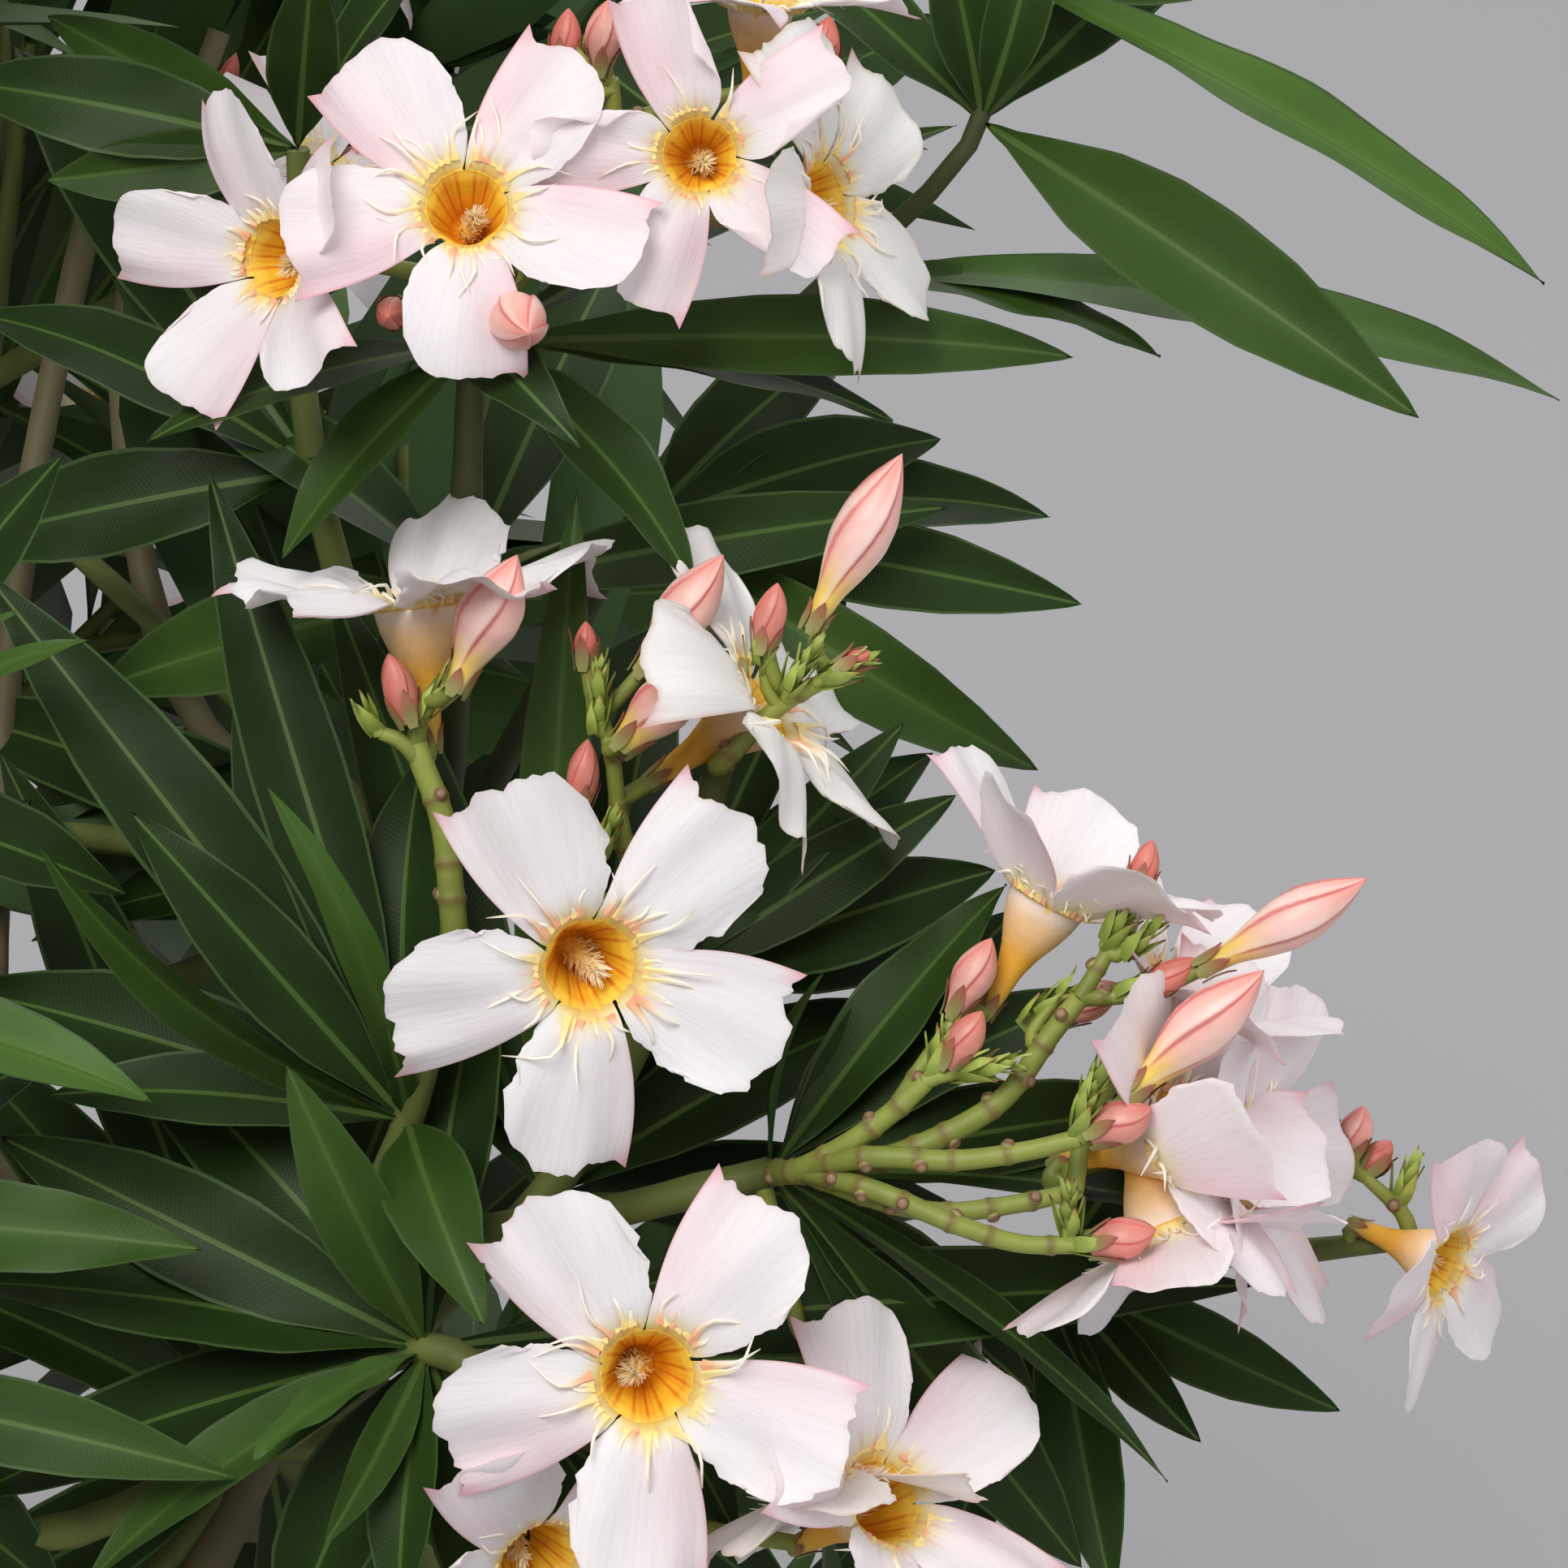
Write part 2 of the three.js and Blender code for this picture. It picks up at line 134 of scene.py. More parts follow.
def catmullRom(points, t):
    last = len(points) - 1
    k = min(int(t * last), last - 1)
    w = t * last - k
    p1, p2 = points[k], points[k + 1]
    p0 = points[k - 1] if k > 0 else 2 * points[0] - points[1]
    p3 = points[k + 2] if k + 2 <= last else 2 * points[last] - points[last - 1]
    d0, d1, d2 = (np.linalg.norm(b - a) ** 0.5 for a, b in ((p0, p1), (p1, p2), (p2, p3)))
    t1 = ((p1 - p0) / d0 - (p2 - p0) / (d0 + d1) + (p2 - p1) / d1) * d1
    t2 = ((p2 - p1) / d1 - (p3 - p1) / (d1 + d2) + (p3 - p2) / d2) * d1
    return p1 + t1 * w + (3 * p2 - 3 * p1 - 2 * t1 - t2) * w**2 + (2 * p1 - 2 * p2 + t1 + t2) * w**3


def bezier(a, b, c, d, t):
    s = 1 - t
    return a * s**3 + 3 * b * s * s * t + 3 * c * s * t * t + d * t**3


def pathOf(curve, count=200):
    places = np.array([curve(k / count) for k in range(count + 1)])
    steps = np.linalg.norm(np.diff(places, axis=0), axis=1)
    return {"places": places, "run": np.concatenate([[0], np.cumsum(steps)])}


# Points that lie on the one before are left out.
def pathThrough(points, count=40):
    kept = [np.asarray(points[0], float)]
    for p in points[1:]:
        if np.linalg.norm(p - kept[-1]) > 0.05:
            kept.append(np.asarray(p, float))
    if len(kept) == 1:
        kept.append(kept[0] + np.array([0, 0, 0.05]))
    return pathOf(lambda t: catmullRom(kept, t), count)


def pointAt(path, share):
    reach = np.asarray(share, float) * path["run"][-1]
    return np.stack([np.interp(reach, path["run"], path["places"][:, k]) for k in range(3)], axis=-1)


def directionAt(path, share):
    return unit(pointAt(path, min(1, share + 0.002)) - pointAt(path, max(0, share - 0.002)))


# Helpers: heaps of faces, which become one mesh
def newHeap():
    return {"places": [], "faces": [], "kinds": [], "tints": [], "spots": [], "count": 0}


# tints are the colours of the places, and spots are where they lie on a petal or leaf.
def addTo(heap, places, faces, kinds=0, tints=(1, 1, 1), spots=(0, 0, 0)):
    places = np.asarray(places, float).reshape(-1, 3)
    faces = np.asarray(faces)
    heap["places"].append(places)
    heap["faces"].append(faces + heap["count"])
    heap["kinds"].append(np.broadcast_to(kinds, len(faces)))
    heap["tints"].append(np.broadcast_to(np.asarray(tints, float).reshape(-1, 3), places.shape))
    heap["spots"].append(np.broadcast_to(np.asarray(spots, float).reshape(-1, 3), places.shape))
    heap["count"] += len(places)


def joined(heap):
    return {
        "places": np.concatenate(heap["places"]),
        "faces": heap["faces"],
        "kinds": heap["kinds"],
        "tints": np.concatenate(heap["tints"]),
        "spots": np.concatenate(heap["spots"]),
    }


# form is a joined heap, and the columns of turn are its axes.
def addCopy(heap, form, turn, shift, size=1.0, kinds=None):
    places = form["places"] * size @ turn.T + shift
    start = heap["count"]
    heap["places"].append(places)
    heap["tints"].append(form["tints"])
    heap["spots"].append(form["spots"])
    heap["count"] += len(places)
    for faces, own in zip(form["faces"], form["kinds"]):
        heap["faces"].append(faces + start)
        heap["kinds"].append(own if kinds is None else kinds[own])


def gridFaces(rows, columns, wrap=False):
    across = columns if wrap else columns - 1
    i, j = np.meshgrid(np.arange(rows - 1), np.arange(across), indexing="ij")
    k = (j + 1) % columns
    here, below = i * columns, (i + 1) * columns
    return np.stack([here + j, here + k, below + k, below + j], axis=-1).reshape(-1, 4)


def addTube(heap, path, radii, sides, rings, kind=0, tints=None):
    shares = np.linspace(0, 1, rings)
    centres = pointAt(path, shares)
    ahead = units(np.gradient(centres, axis=0))
    level, _ = squareTo(ahead[0])
    angles = np.arange(sides) * 2 * math.pi / sides
    rows = []
    for k in range(rings):
        level = unit(level - ahead[k] * np.dot(level, ahead[k]))
        other = np.cross(ahead[k], level)
        ring = np.outer(np.cos(angles), level) + np.outer(np.sin(angles), other)
        rows.append(centres[k] + ring * radii[k])
    ends = [np.repeat(centres[:1], sides, axis=0), *rows, np.repeat(centres[-1:], sides, axis=0)]
    if tints is None:
        tints = (1, 1, 1)
    else:
        tints = np.repeat(np.concatenate([tints[:1], tints, tints[-1:]]), sides, axis=0)
    addTo(heap, np.array(ends), gridFaces(rings + 2, sides, wrap=True), kind, tints)


# A closed sheet, whose underside takes the edges of its upper side.
def addLens(heap, upper, under, kinds, tints, underTints=None, spots=(0, 0, 0)):
    under[:, 0], under[:, -1], under[-1], under[0] = upper[:, 0], upper[:, -1], upper[-1], upper[0]
    faces = gridFaces(*upper.shape[:2])
    addTo(heap, upper, faces, kinds, tints, spots)
    addTo(heap, under, faces[:, ::-1], kinds, tints if underTints is None else underTints, spots)


def ringOf(sides):
    angles = np.arange(sides) * 2 * math.pi / sides
    return angles, np.stack([np.cos(angles), np.sin(angles), 0 * angles], axis=-1)


def makePiece(name, heap, materials, nodes=(), smooth=True):
    made = joined(heap)
    mesh = bpy.data.meshes.new(name)
    faces = [f for part in made["faces"] for f in part.tolist()]
    places = np.clip(made["places"] * millimetre, lowCorner + boxMargin, highCorner - boxMargin)
    mesh.from_pydata(places.tolist(), [], faces)
    mesh.polygons.foreach_set("material_index", np.concatenate(made["kinds"]).astype(np.int32))
    tint = mesh.color_attributes.new("tint", "FLOAT_COLOR", "POINT")
    tint.data.foreach_set("color", np.column_stack([made["tints"], np.ones(len(made["tints"]))]).ravel())
    if made["spots"].any():
        spot = mesh.attributes.new("spot", "FLOAT_VECTOR", "POINT")
        spot.data.foreach_set("vector", made["spots"].ravel())
    work = bmesh.new()
    work.from_mesh(mesh)
    bmesh.ops.remove_doubles(work, verts=work.verts, dist=0.000002)
    bmesh.ops.recalc_face_normals(work, faces=work.faces)
    work.to_mesh(mesh)
    work.free()
    mesh.polygons.foreach_set("use_smooth", np.full(len(mesh.polygons), smooth))
    mesh.set_sharp_from_angle(angle=math.radians(creaseAngle))
    for material in materials:
        mesh.materials.append(material)
    piece = bpy.data.objects.new(name, mesh)
    bpy.context.scene.collection.objects.link(piece)
    return keepPiece(piece, nodes)


def keepPiece(piece, nodes=()):
    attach(piece, "root")
    if nodes:
        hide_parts(*nodes)
    return piece


def deselectAll():
    bpy.ops.object.select_all(action="DESELECT")


def applyModifiers(piece):
    deselectAll()
    bpy.context.view_layer.objects.active = piece
    piece.select_set(True)
    for modifier in list(piece.modifiers):
        bpy.ops.object.modifier_apply(modifier=modifier.name)


# Helpers: materials
def shaderOf(material):
    return material.node_tree.nodes["Principled BSDF"]


def newMaterial(name, colour, roughness, specular=0.5):
    material = bpy.data.materials.new(name)
    material.use_nodes = True
    shader = shaderOf(material)
    shader.inputs["Base Color"].default_value = (*colour, 1)
    shader.inputs["Roughness"].default_value = roughness
    shader.inputs["Specular IOR Level"].default_value = specular
    return material


def addNode(material, kind, **values):
    node = material.node_tree.nodes.new(kind)
    for key, value in values.items():
        if key in node.inputs:
            node.inputs[key].default_value = value
        else:
            setattr(node, key, value)
    return node


def link(material, source, sink):
    material.node_tree.links.new(source, sink)


def objectPlace(material, stretch=(1, 1, 1)):
    coordinates = addNode(material, "ShaderNodeTexCoord")
    mapping = addNode(material, "ShaderNodeMapping", Scale=stretch)
    link(material, coordinates.outputs["Object"], mapping.inputs["Vector"])
    return mapping.outputs["Vector"]


def noiseOf(material, place, scale, detail=3.0, roughness=0.55):
    noise = addNode(material, "ShaderNodeTexNoise", Scale=scale, Detail=detail, Roughness=roughness)
    link(material, place, noise.inputs["Vector"])
    return noise.outputs["Fac"]


def rampOf(material, source, stops):
    ramp = addNode(material, "ShaderNodeValToRGB")
    elements = ramp.color_ramp.elements
    while len(elements) < len(stops):
        elements.new(0.5)
    for element, (position, colour) in zip(elements, stops):
        element.position = position
        element.color = (*colour, 1)
    link(material, source, ramp.inputs["Fac"])
    return ramp.outputs["Color"]


def addBump(material, height, strength, distance):
    bump = addNode(material, "ShaderNodeBump", Strength=strength, Distance=distance)
    link(material, height, bump.inputs["Height"])
    link(material, bump.outputs["Normal"], shaderOf(material).inputs["Normal"])


# Values are numbers, or the sockets that give them.
def mathNode(material, operation, *values):
    node = addNode(material, "ShaderNodeMath", operation=operation)
    for sink, value in zip(node.inputs, values):
        if isinstance(value, (int, float)):
            sink.default_value = value
        else:
            link(material, value, sink)
    return node.outputs[0]


def multiplied(material, a, b, factor=1.0):
    mix = addNode(material, "ShaderNodeMix", data_type="RGBA", blend_type="MULTIPLY")
    mix.inputs[0].default_value = factor
    link(material, a, mix.inputs[6])
    link(material, b, mix.inputs[7])
    return mix.outputs[2]


def colourFrom(material, source):
    link(material, source, shaderOf(material).inputs["Base Color"])


def tintOf(material):
    return addNode(material, "ShaderNodeAttribute", attribute_name="tint").outputs["Color"]


print("helpers ready")

# The growth rule, as in the part's own source: stems, boughs, and twigs with leaves in whorls of three.
pot = {
    "height": 290,
    "baseRadius": 116,
    "mouthRadius": 156,
    "rimRadius": 172,
    "rimHeight": 44,
    "wall": 11,
    "floor": 16,
    "soilDrop": 30,
    "mouthRound": 5,
    "sides": 128,
}
stem = {
    "count": 6,
    "firstTurn": -20,
    "footRing": 30,
    "tipRing": 80,
    "tipHeight": 590,
    "footRadius": 10.5,
    "tipRadius": 6.5,
    "flare": 4.5,
    "flareLength": 30,
    "sunk": 14,
    "kneeHeight": 55,
    "bow": 16,
}
bough = {"footRadius": 5.4, "tipRadius": 3.6}
twig = {"footRadius": 3.0, "forkRadius": 2.5, "tipRadius": 1.6}
leaf = {"length": 128, "stagger": 5}
tiers = [
    {"name": "low", "turn": -14, "ring": 205, "height": 470, "rise": 6, "from": 0.42, "reach": 62},
    {"name": "middle", "turn": 18, "ring": 215, "height": 625, "rise": 26, "from": 0.66, "reach": 66},
    {"name": "upper", "turn": -20, "ring": 165, "height": 765, "rise": 50, "from": 0.8, "reach": 70},
    {
        "name": "top", "turn": 8, "ring": 90, "height": 860, "rise": 74, "from": 1, "reach": 78,
        "stagger": (26, -36),
    },
]
growth = {
    "twigLength": (92, 118),
    "spread": (38, 50),
    "lift": 0.28,
    "whorlsAt": (0.42, 0.92),
    "stemWhorlAt": 0.8,
    "leafAngle": (50, 66),
    "droop": (0.02, 0.16),
    "shortLeaf": 0.7,
    "flowering": 0.72,
    "clearance": 2.5,
    "limbRoom": 4,
    "potRoom": 8,
    "boxSlack": 3,
}
bestSide = {"centre": np.array([345.0, -150.0, 850.0]), "tilt": 28, "viewDistance": 700}
soilTop = pot["height"] - pot["soilDrop"]
viewLean = math.radians(bestSide["tilt"])


# A place on the best side: right, up and away in millimetres, as it looks from viewDistance.
def onBestSide(place):
    right, up, away = place
    scale = (bestSide["viewDistance"] + away) / bestSide["viewDistance"]
    across = np.array([1.0, 0.0, 0.0]) * right * scale
    rising = np.array([0.0, math.sin(viewLean), math.cos(viewLean)]) * up * scale
    behind = np.array([0.0, math.cos(viewLean), -math.sin(viewLean)]) * away
    return bestSide["centre"] + across + rising + behind


def alongBestSide(way):
    right, up, away = way
    level = up * math.sin(viewLean) + away * math.cos(viewLean)
    height = up * math.cos(viewLean) - away * math.sin(viewLean)
    return unit(np.array([right, level, height]))


handSet = {
    "1_upper": {"end": (-52, -62, 92), "towards": (-44, -12, 62)},
    "1_middle": {"end": (-84, -122, 66), "towards": (-66, -84, 44)},
}


def makeStems():
    made = []
    for i in range(stem["count"]):
        random = seeded(101 + i)
        turn = stem["firstTurn"] + 360 / stem["count"] * i + random(-5, 5)
        foot = polar(stem["footRing"], turn, soilTop - stem["sunk"])
        tip = polar(stem["tipRing"] + random(-6, 6), turn, stem["tipHeight"] + random(-22, 22))
        middle = (foot + tip) / 2 + polar(-stem["bow"], turn + random(-30, 30), 0)
        knee = foot + (middle - foot) * 0.35
        knee[2] = soilTop + stem["kneeHeight"]
        points = [foot, knee, middle, tip]
        path = pathOf(lambda t, points=points: catmullRom(points, t))
        made.append({"index": i, "turn": turn, "path": path})
    return made


def stemRadius(path, share):
    taper = stem["footRadius"] + (stem["tipRadius"] - stem["footRadius"]) * share
    return taper + stem["flare"] * np.exp(-share * path["run"][-1] / stem["flareLength"])


def boughRadius(share):
    return bough["footRadius"] + (bough["tipRadius"] - bough["footRadius"]) * share


def makeBoughs(stems):
    made = []
    for parent in stems:
        for tier in tiers:
            name = f"{parent['index'] + 1}_{tier['name']}"
            random = seeded(1000 * (parent["index"] + 1) + tier["height"])
            turn = parent["turn"] + tier["turn"] + random(-5, 5)
            side = 1 if parent["index"] % 2 == 0 else -1
            outwards, upwards = (side * shift for shift in tier.get("stagger", (0, 0)))
            ring = tier["ring"] + outwards + random(-12, 12)
            end = polar(ring, turn, tier["height"] + upwards + random(-18, 18))
            heads = heading(turn, tier["rise"])
            if name in handSet:
                end = onBestSide(handSet[name]["end"])
                heads = unit(onBestSide(handSet[name]["towards"]) - end)
            start = pointAt(parent["path"], tier["from"])
            leaves = directionAt(parent["path"], tier["from"])
            if tier["from"] != 1:
                leaves = unit(leaves * 0.45 + heading(turn, tier["rise"] / 2))
            reach = np.linalg.norm(end - start)
            handles = (start + leaves * reach * 0.3, end - heads * reach * 0.3)
            path = pathOf(lambda t, s=start, h=handles, e=end: bezier(s, *h, e, t))
            made.append(
                {
                    "name": name,
                    "seed": 7000 * (parent["index"] + 1) + tier["height"],
                    "parent": parent,
                    "path": path,
                    "end": end,
                    "heads": heads,
                    "heart": end + heads * tier["reach"],
                }
            )
    return made


def pointsAlong(start, end, count):
    return start + (end - start) * (np.arange(1, count + 1) / count)[:, None]


# The test that keeps growth in its own space, clear of the limbs and the pot.
def makeFits(boughs, stems):
    ends = np.array([b["end"] for b in boughs])
    runs = np.array([b["heart"] - b["end"] for b in boughs])
    lengths = np.sum(runs * runs, axis=1)
    shares = np.linspace(0, 1, 25)
    limbs = [(pointAt(s["path"], shares), stemRadius(s["path"], shares)) for s in stems]
    limbs += [(pointAt(b["path"], shares), boughRadius(shares)) for b in boughs]
    limbPlaces = np.concatenate([places for places, _ in limbs])
    limbRadii = np.concatenate([radii for _, radii in limbs])
    boxes = [[np.array(corner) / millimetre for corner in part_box(f"mass_{b['name']}")] for b in boughs]
    slack = growth["boxSlack"]

    def fits(own, points, halfWidth, inBox=True):
        away = points[:, None, :] - ends[None]
        share = np.clip(np.sum(away * runs[None], axis=2) / lengths, 0, 1)
        distances = np.linalg.norm(away - runs[None] * share[:, :, None], axis=2)
        others = np.delete(distances, own, axis=1)
        if np.any(others.min(axis=1) < distances[:, own] + growth["clearance"]):
            return False
        room = np.linalg.norm(points[:, None, :] - limbPlaces[None], axis=2)
        if np.any(room < limbRadii[None] + halfWidth + growth["limbRoom"]):
            return False
        overPot = np.hypot(points[:, 0], points[:, 1]) < pot["rimRadius"] + growth["potRoom"]
        if np.any(overPot & (points[:, 2] < pot["height"] + growth["potRoom"])):
            return False
        low, high = boxes[own]
        return not inBox or bool(np.all(points > low - slack) and np.all(points < high + slack))

    return fits


stems = makeStems()
boughs = makeBoughs(stems)
fits = makeFits(boughs, stems)
print("stems and boughs laid out")


# Pot: a circle raised ring by ring, outside up to the rim and inside down to the floor
def wallAt(z):
    return pot["baseRadius"] + (pot["mouthRadius"] - pot["baseRadius"]) * z / pot["height"]


def makePot():
    under = pot["height"] - pot["rimHeight"]
    rim, wall, top = pot["rimRadius"], pot["wall"], pot["height"]
    rings = [
        (pot["baseRadius"] - 1, 1),
        (pot["baseRadius"], 3.5),
        (wallAt(90), 90),
        (wallAt(under - 3), under - 3),
        (wallAt(under) + 1, under - 0.5),
        (rim - 5, under + 2),
        (rim - 2.2, under + 4),
        (rim - 1.6, under + 8),
        (rim - 0.9, top - 9),
        (rim - 1.2, top - 4),
        (rim - 3.5, top - 1),
        (rim - 7, top),
        (pot["mouthRadius"] - wall + 4, top),
        (pot["mouthRadius"] - wall + 1.2, top - 1.5),
        (pot["mouthRadius"] - wall, top - pot["mouthRound"]),
        (wallAt(pot["floor"]) - wall, pot["floor"]),
        (wallAt(pot["floor"]) - wall - 20, pot["floor"]),
    ]
    deselectAll()
    base = pot["baseRadius"] - 4
    bpy.ops.mesh.primitive_circle_add(vertices=pot["sides"], radius=base * millimetre, fill_type="NGON")
    piece = bpy.context.object
    piece.name = piece.data.name = "pot_of_clay"
    bpy.ops.object.mode_set(mode="EDIT")
    bpy.ops.mesh.inset(thickness=30 * millimetre)
    bpy.ops.mesh.select_all(action="SELECT")
    bpy.ops.mesh.region_to_loop()
    radius, height = base, 0
    for nextRadius, nextHeight in rings:
        rise = (0, 0, (nextHeight - height) * millimetre)
        bpy.ops.mesh.extrude_edges_move(TRANSFORM_OT_translate={"value": rise})
        grow = nextRadius / radius
        bpy.ops.transform.resize(value=(grow, grow, 1), center_override=(0, 0, nextHeight * millimetre))
        radius, height = nextRadius, nextHeight
    bpy.ops.mesh.edge_face_add()
    bpy.ops.mesh.select_all(action="SELECT")
    bpy.ops.mesh.normals_make_consistent(inside=False)
    bpy.ops.object.mode_set(mode="OBJECT")
    bpy.ops.object.shade_smooth_by_angle(angle=math.radians(40))
    return piece


def clayMaterial():
    clay = newMaterial("clay", (0.45, 0.19, 0.095), 0.85, 0.3)
    place = objectPlace(clay)
    tones = [(0.3, (0.36, 0.145, 0.07)), (0.5, (0.46, 0.2, 0.1)), (0.72, (0.55, 0.27, 0.155))]
    cloudy = rampOf(clay, noiseOf(clay, place, 7, 5), tones)
    speckled = rampOf(clay, noiseOf(clay, place, 260, 2), [(0.32, (0.72, 0.68, 0.66)), (0.55, (1, 1, 1))])
    # pale bloom of salts, which gathers in patches
    salts = rampOf(clay, noiseOf(clay, place, 3.2, 6, 0.7), [(0.54, (0, 0, 0)), (0.74, (0.55, 0.55, 0.55))])
    mix = addNode(clay, "ShaderNodeMix", data_type="RGBA")
    link(clay, salts, mix.inputs[0])
    link(clay, multiplied(clay, cloudy, speckled, 0.6), mix.inputs[6])
    mix.inputs[7].default_value = (0.66, 0.5, 0.4, 1)
    colourFrom(clay, mix.outputs[2])
    # rings of the wheel, and grain
    wheel = addNode(clay, "ShaderNodeTexWave", bands_direction="Z", Scale=42, Distortion=1.2, Detail=1)
    link(clay, objectPlace(clay), wheel.inputs["Vector"])
    grain = noiseOf(clay, place, 420, 3)
    addBump(clay, mathNode(clay, "MULTIPLY_ADD", wheel.outputs["Fac"], 0.45, grain), 0.35, 0.0006)
    return clay


potPiece = makePot()
potPiece.data.materials.append(clayMaterial())
keepPiece(potPiece, ["pot"])
print("pot made")

# Soil: a plug that fills the pot, its top uneven and strewn with crumbs and bark chips
soil = {
    "rings": 26,
    "spokes": 110,
    "wallGap": 0.6,
    "floorGap": 0.4,
    "levelDrop": 3.2,
    "unevenness": 5.5,
    "waves": ((0.031, 0.8), (0.057, 2.1), (0.103, 4.0), (0.19, 5.7)),
    "wavePhase": 1.4,
    "strewnRadius": 134,
    "crumbs": 900,
    "crumbSize": (1.2, 4.2),
    "chips": 70,
    "chipSize": (4, 8),
}


def insideAt(z):
    low, high = wallAt(pot["floor"]) - pot["wall"], pot["mouthRadius"] - pot["wall"]
    run = pot["height"] - pot["mouthRound"] - pot["floor"]
    return low + (high - low) * (z - pot["floor"]) / run - soil["wallGap"]


def soilHeight(x, y):
    phase, swell = soil["wavePhase"], 0
    for n, (k, a) in enumerate(soil["waves"]):
        swell += math.sin(x * k + phase + a) * math.cos(y * k * 1.13 - phase * 1.7 + a) / (1 + n)
    return soilTop - soil["levelDrop"] + 0.5 * soil["unevenness"] * swell


def makeSoil():
    deselectAll()
    foot = pot["floor"] + soil["floorGap"]
    bpy.ops.mesh.primitive_circle_add(
        vertices=soil["spokes"],
        radius=insideAt(foot) * millimetre,
        fill_type="TRIFAN",
        location=(0, 0, foot * millimetre),
    )
    piece = bpy.context.object
    piece.name = piece.data.name = "soil_top"
    bpy.ops.object.transform_apply(location=True)
    bpy.ops.object.mode_set(mode="EDIT")
    bpy.ops.mesh.select_all(action="SELECT")
    bpy.ops.mesh.region_to_loop()
    height = soilTop - 4
    bpy.ops.mesh.extrude_edges_move(TRANSFORM_OT_translate={"value": (0, 0, (height - foot) * millimetre)})
    grow = insideAt(height) / insideAt(foot)
    bpy.ops.transform.resize(value=(grow, grow, 1), center_override=(0, 0, height * millimetre))
    for ring in range(soil["rings"] - 1, 0, -1):
        bpy.ops.mesh.extrude_edges_move()
        shrink = ring / (ring + 1)
        bpy.ops.transform.resize(value=(shrink, shrink, 1), center_override=(0, 0, height * millimetre))
    bpy.ops.mesh.edge_face_add()
    bpy.ops.mesh.select_all(action="SELECT")
    bpy.ops.mesh.normals_make_consistent(inside=False)
    bpy.ops.object.mode_set(mode="OBJECT")
    random = seeded(71)
    rim = insideAt(height) - 1
    for vertex in piece.data.vertices:
        x, y, z = (c / millimetre for c in vertex.co)
        if z > height - 1 and math.hypot(x, y) < rim:
            vertex.co.z = (soilHeight(x, y) + random(-0.9, 0.9)) * millimetre
    bpy.ops.object.shade_smooth()
    return piece


# Crumbs and chips are small lumps of eight faces, each with its own size and turn.
def makeCrumbs(count, sizes, seed, flatness, stretch):
    random = seeded(seed)
    form = np.array([[1, 0, 0], [0, 1, 0], [-1, 0, 0], [0, -1, 0], [0, 0, 1], [0, 0, -1]], float)
    upper = [[4, k, (k + 1) % 4] for k in range(4)]
    faces = np.array(upper + [[5, (k + 1) % 4, k] for k in range(4)])
    heap = newHeap()
    for _ in range(count):
        ring = soil["strewnRadius"] * math.sqrt(random(0, 1))
        place = polar(ring, random(0, 360), 0)
        size = random(*sizes)
        lump = form * np.array([size * stretch, size * random(0.5, 1), size * flatness])
        lump = lump + np.array([[random(-0.2, 0.2) * size for _ in range(3)] for _ in range(6)])
        axis = tipped(upward, random(0, 25), random(0, 360))
        level, rising = squareTo(axis)
        spin = random(0, 2 * math.pi)
        first = level * math.cos(spin) + rising * math.sin(spin)
        turned = lump @ np.array([first, np.cross(axis, first), axis])
        place[2] = soilHeight(place[0], place[1]) + size * flatness * 0.3
        place[2] = min(place[2], soilTop - 0.5 - size * flatness)
        addTo(heap, turned + place, faces)
    return heap


def soilMaterial(name, low, middle, high):
    earth = newMaterial(name, middle, 0.95, 0.2)
    place = objectPlace(earth)
    tones = [(0.35, low), (0.52, middle), (0.7, high)]
    colourFrom(earth, rampOf(earth, noiseOf(earth, place, 90, 5), tones))
    addBump(earth, noiseOf(earth, place, 500, 4), 0.6, 0.0012)
    return earth


earth = soilMaterial("earth", (0.018, 0.012, 0.009), (0.045, 0.03, 0.021), (0.1, 0.07, 0.048))
chipBark = soilMaterial("chip_bark", (0.07, 0.04, 0.024), (0.14, 0.085, 0.05), (0.24, 0.16, 0.1))
soilPiece = makeSoil()
soilPiece.data.materials.append(earth)
keepPiece(soilPiece, ["soil"])
crumbs = makeCrumbs(soil["crumbs"], soil["crumbSize"], 811, 0.7, 1)
makePiece("soil_crumbs", crumbs, [earth], smooth=False)
chips = makeCrumbs(soil["chips"], soil["chipSize"], 812, 0.22, 1.7)
makePiece("soil_chips", chips, [chipBark], smooth=False)
print("soil made")

# Bark: each stem and its boughs are one skin, with forks that swell into each other
bark = {"voxel": 1.7, "relief": 1.1, "reliefSize": 13, "rough": 0.5, "roughSize": 3.2, "collar": 1.9}


def limbCurve(path, radii, name):
    curve = bpy.data.curves.new(name, "CURVE")
    curve.dimensions = "3D"
    curve.bevel_depth = millimetre
    curve.bevel_resolution = 4
    curve.use_fill_caps = True
    spline = curve.splines.new("POLY")
    count = len(radii)
    spline.points.add(count - 1)
    for point, place, radius in zip(spline.points, pointAt(path, np.linspace(0, 1, count)), radii):
        point.co = (*(place * millimetre), 1)
        point.radius = radius
    limb = bpy.data.objects.new(name, curve)
    bpy.context.scene.collection.objects.link(limb)
    return limb


def scarred(radii, path, random):
    # rings of old leaf scars: slight swellings, closer together towards the tip
    shares = np.linspace(0, 1, len(radii)) * path["run"][-1]
    at = random(8, 20)
    while at < path["run"][-1]:
        radii = radii + random(0.25, 0.5) * np.exp(-(((shares - at) / 2.6) ** 2))
        at += random(17, 30)
    return radii


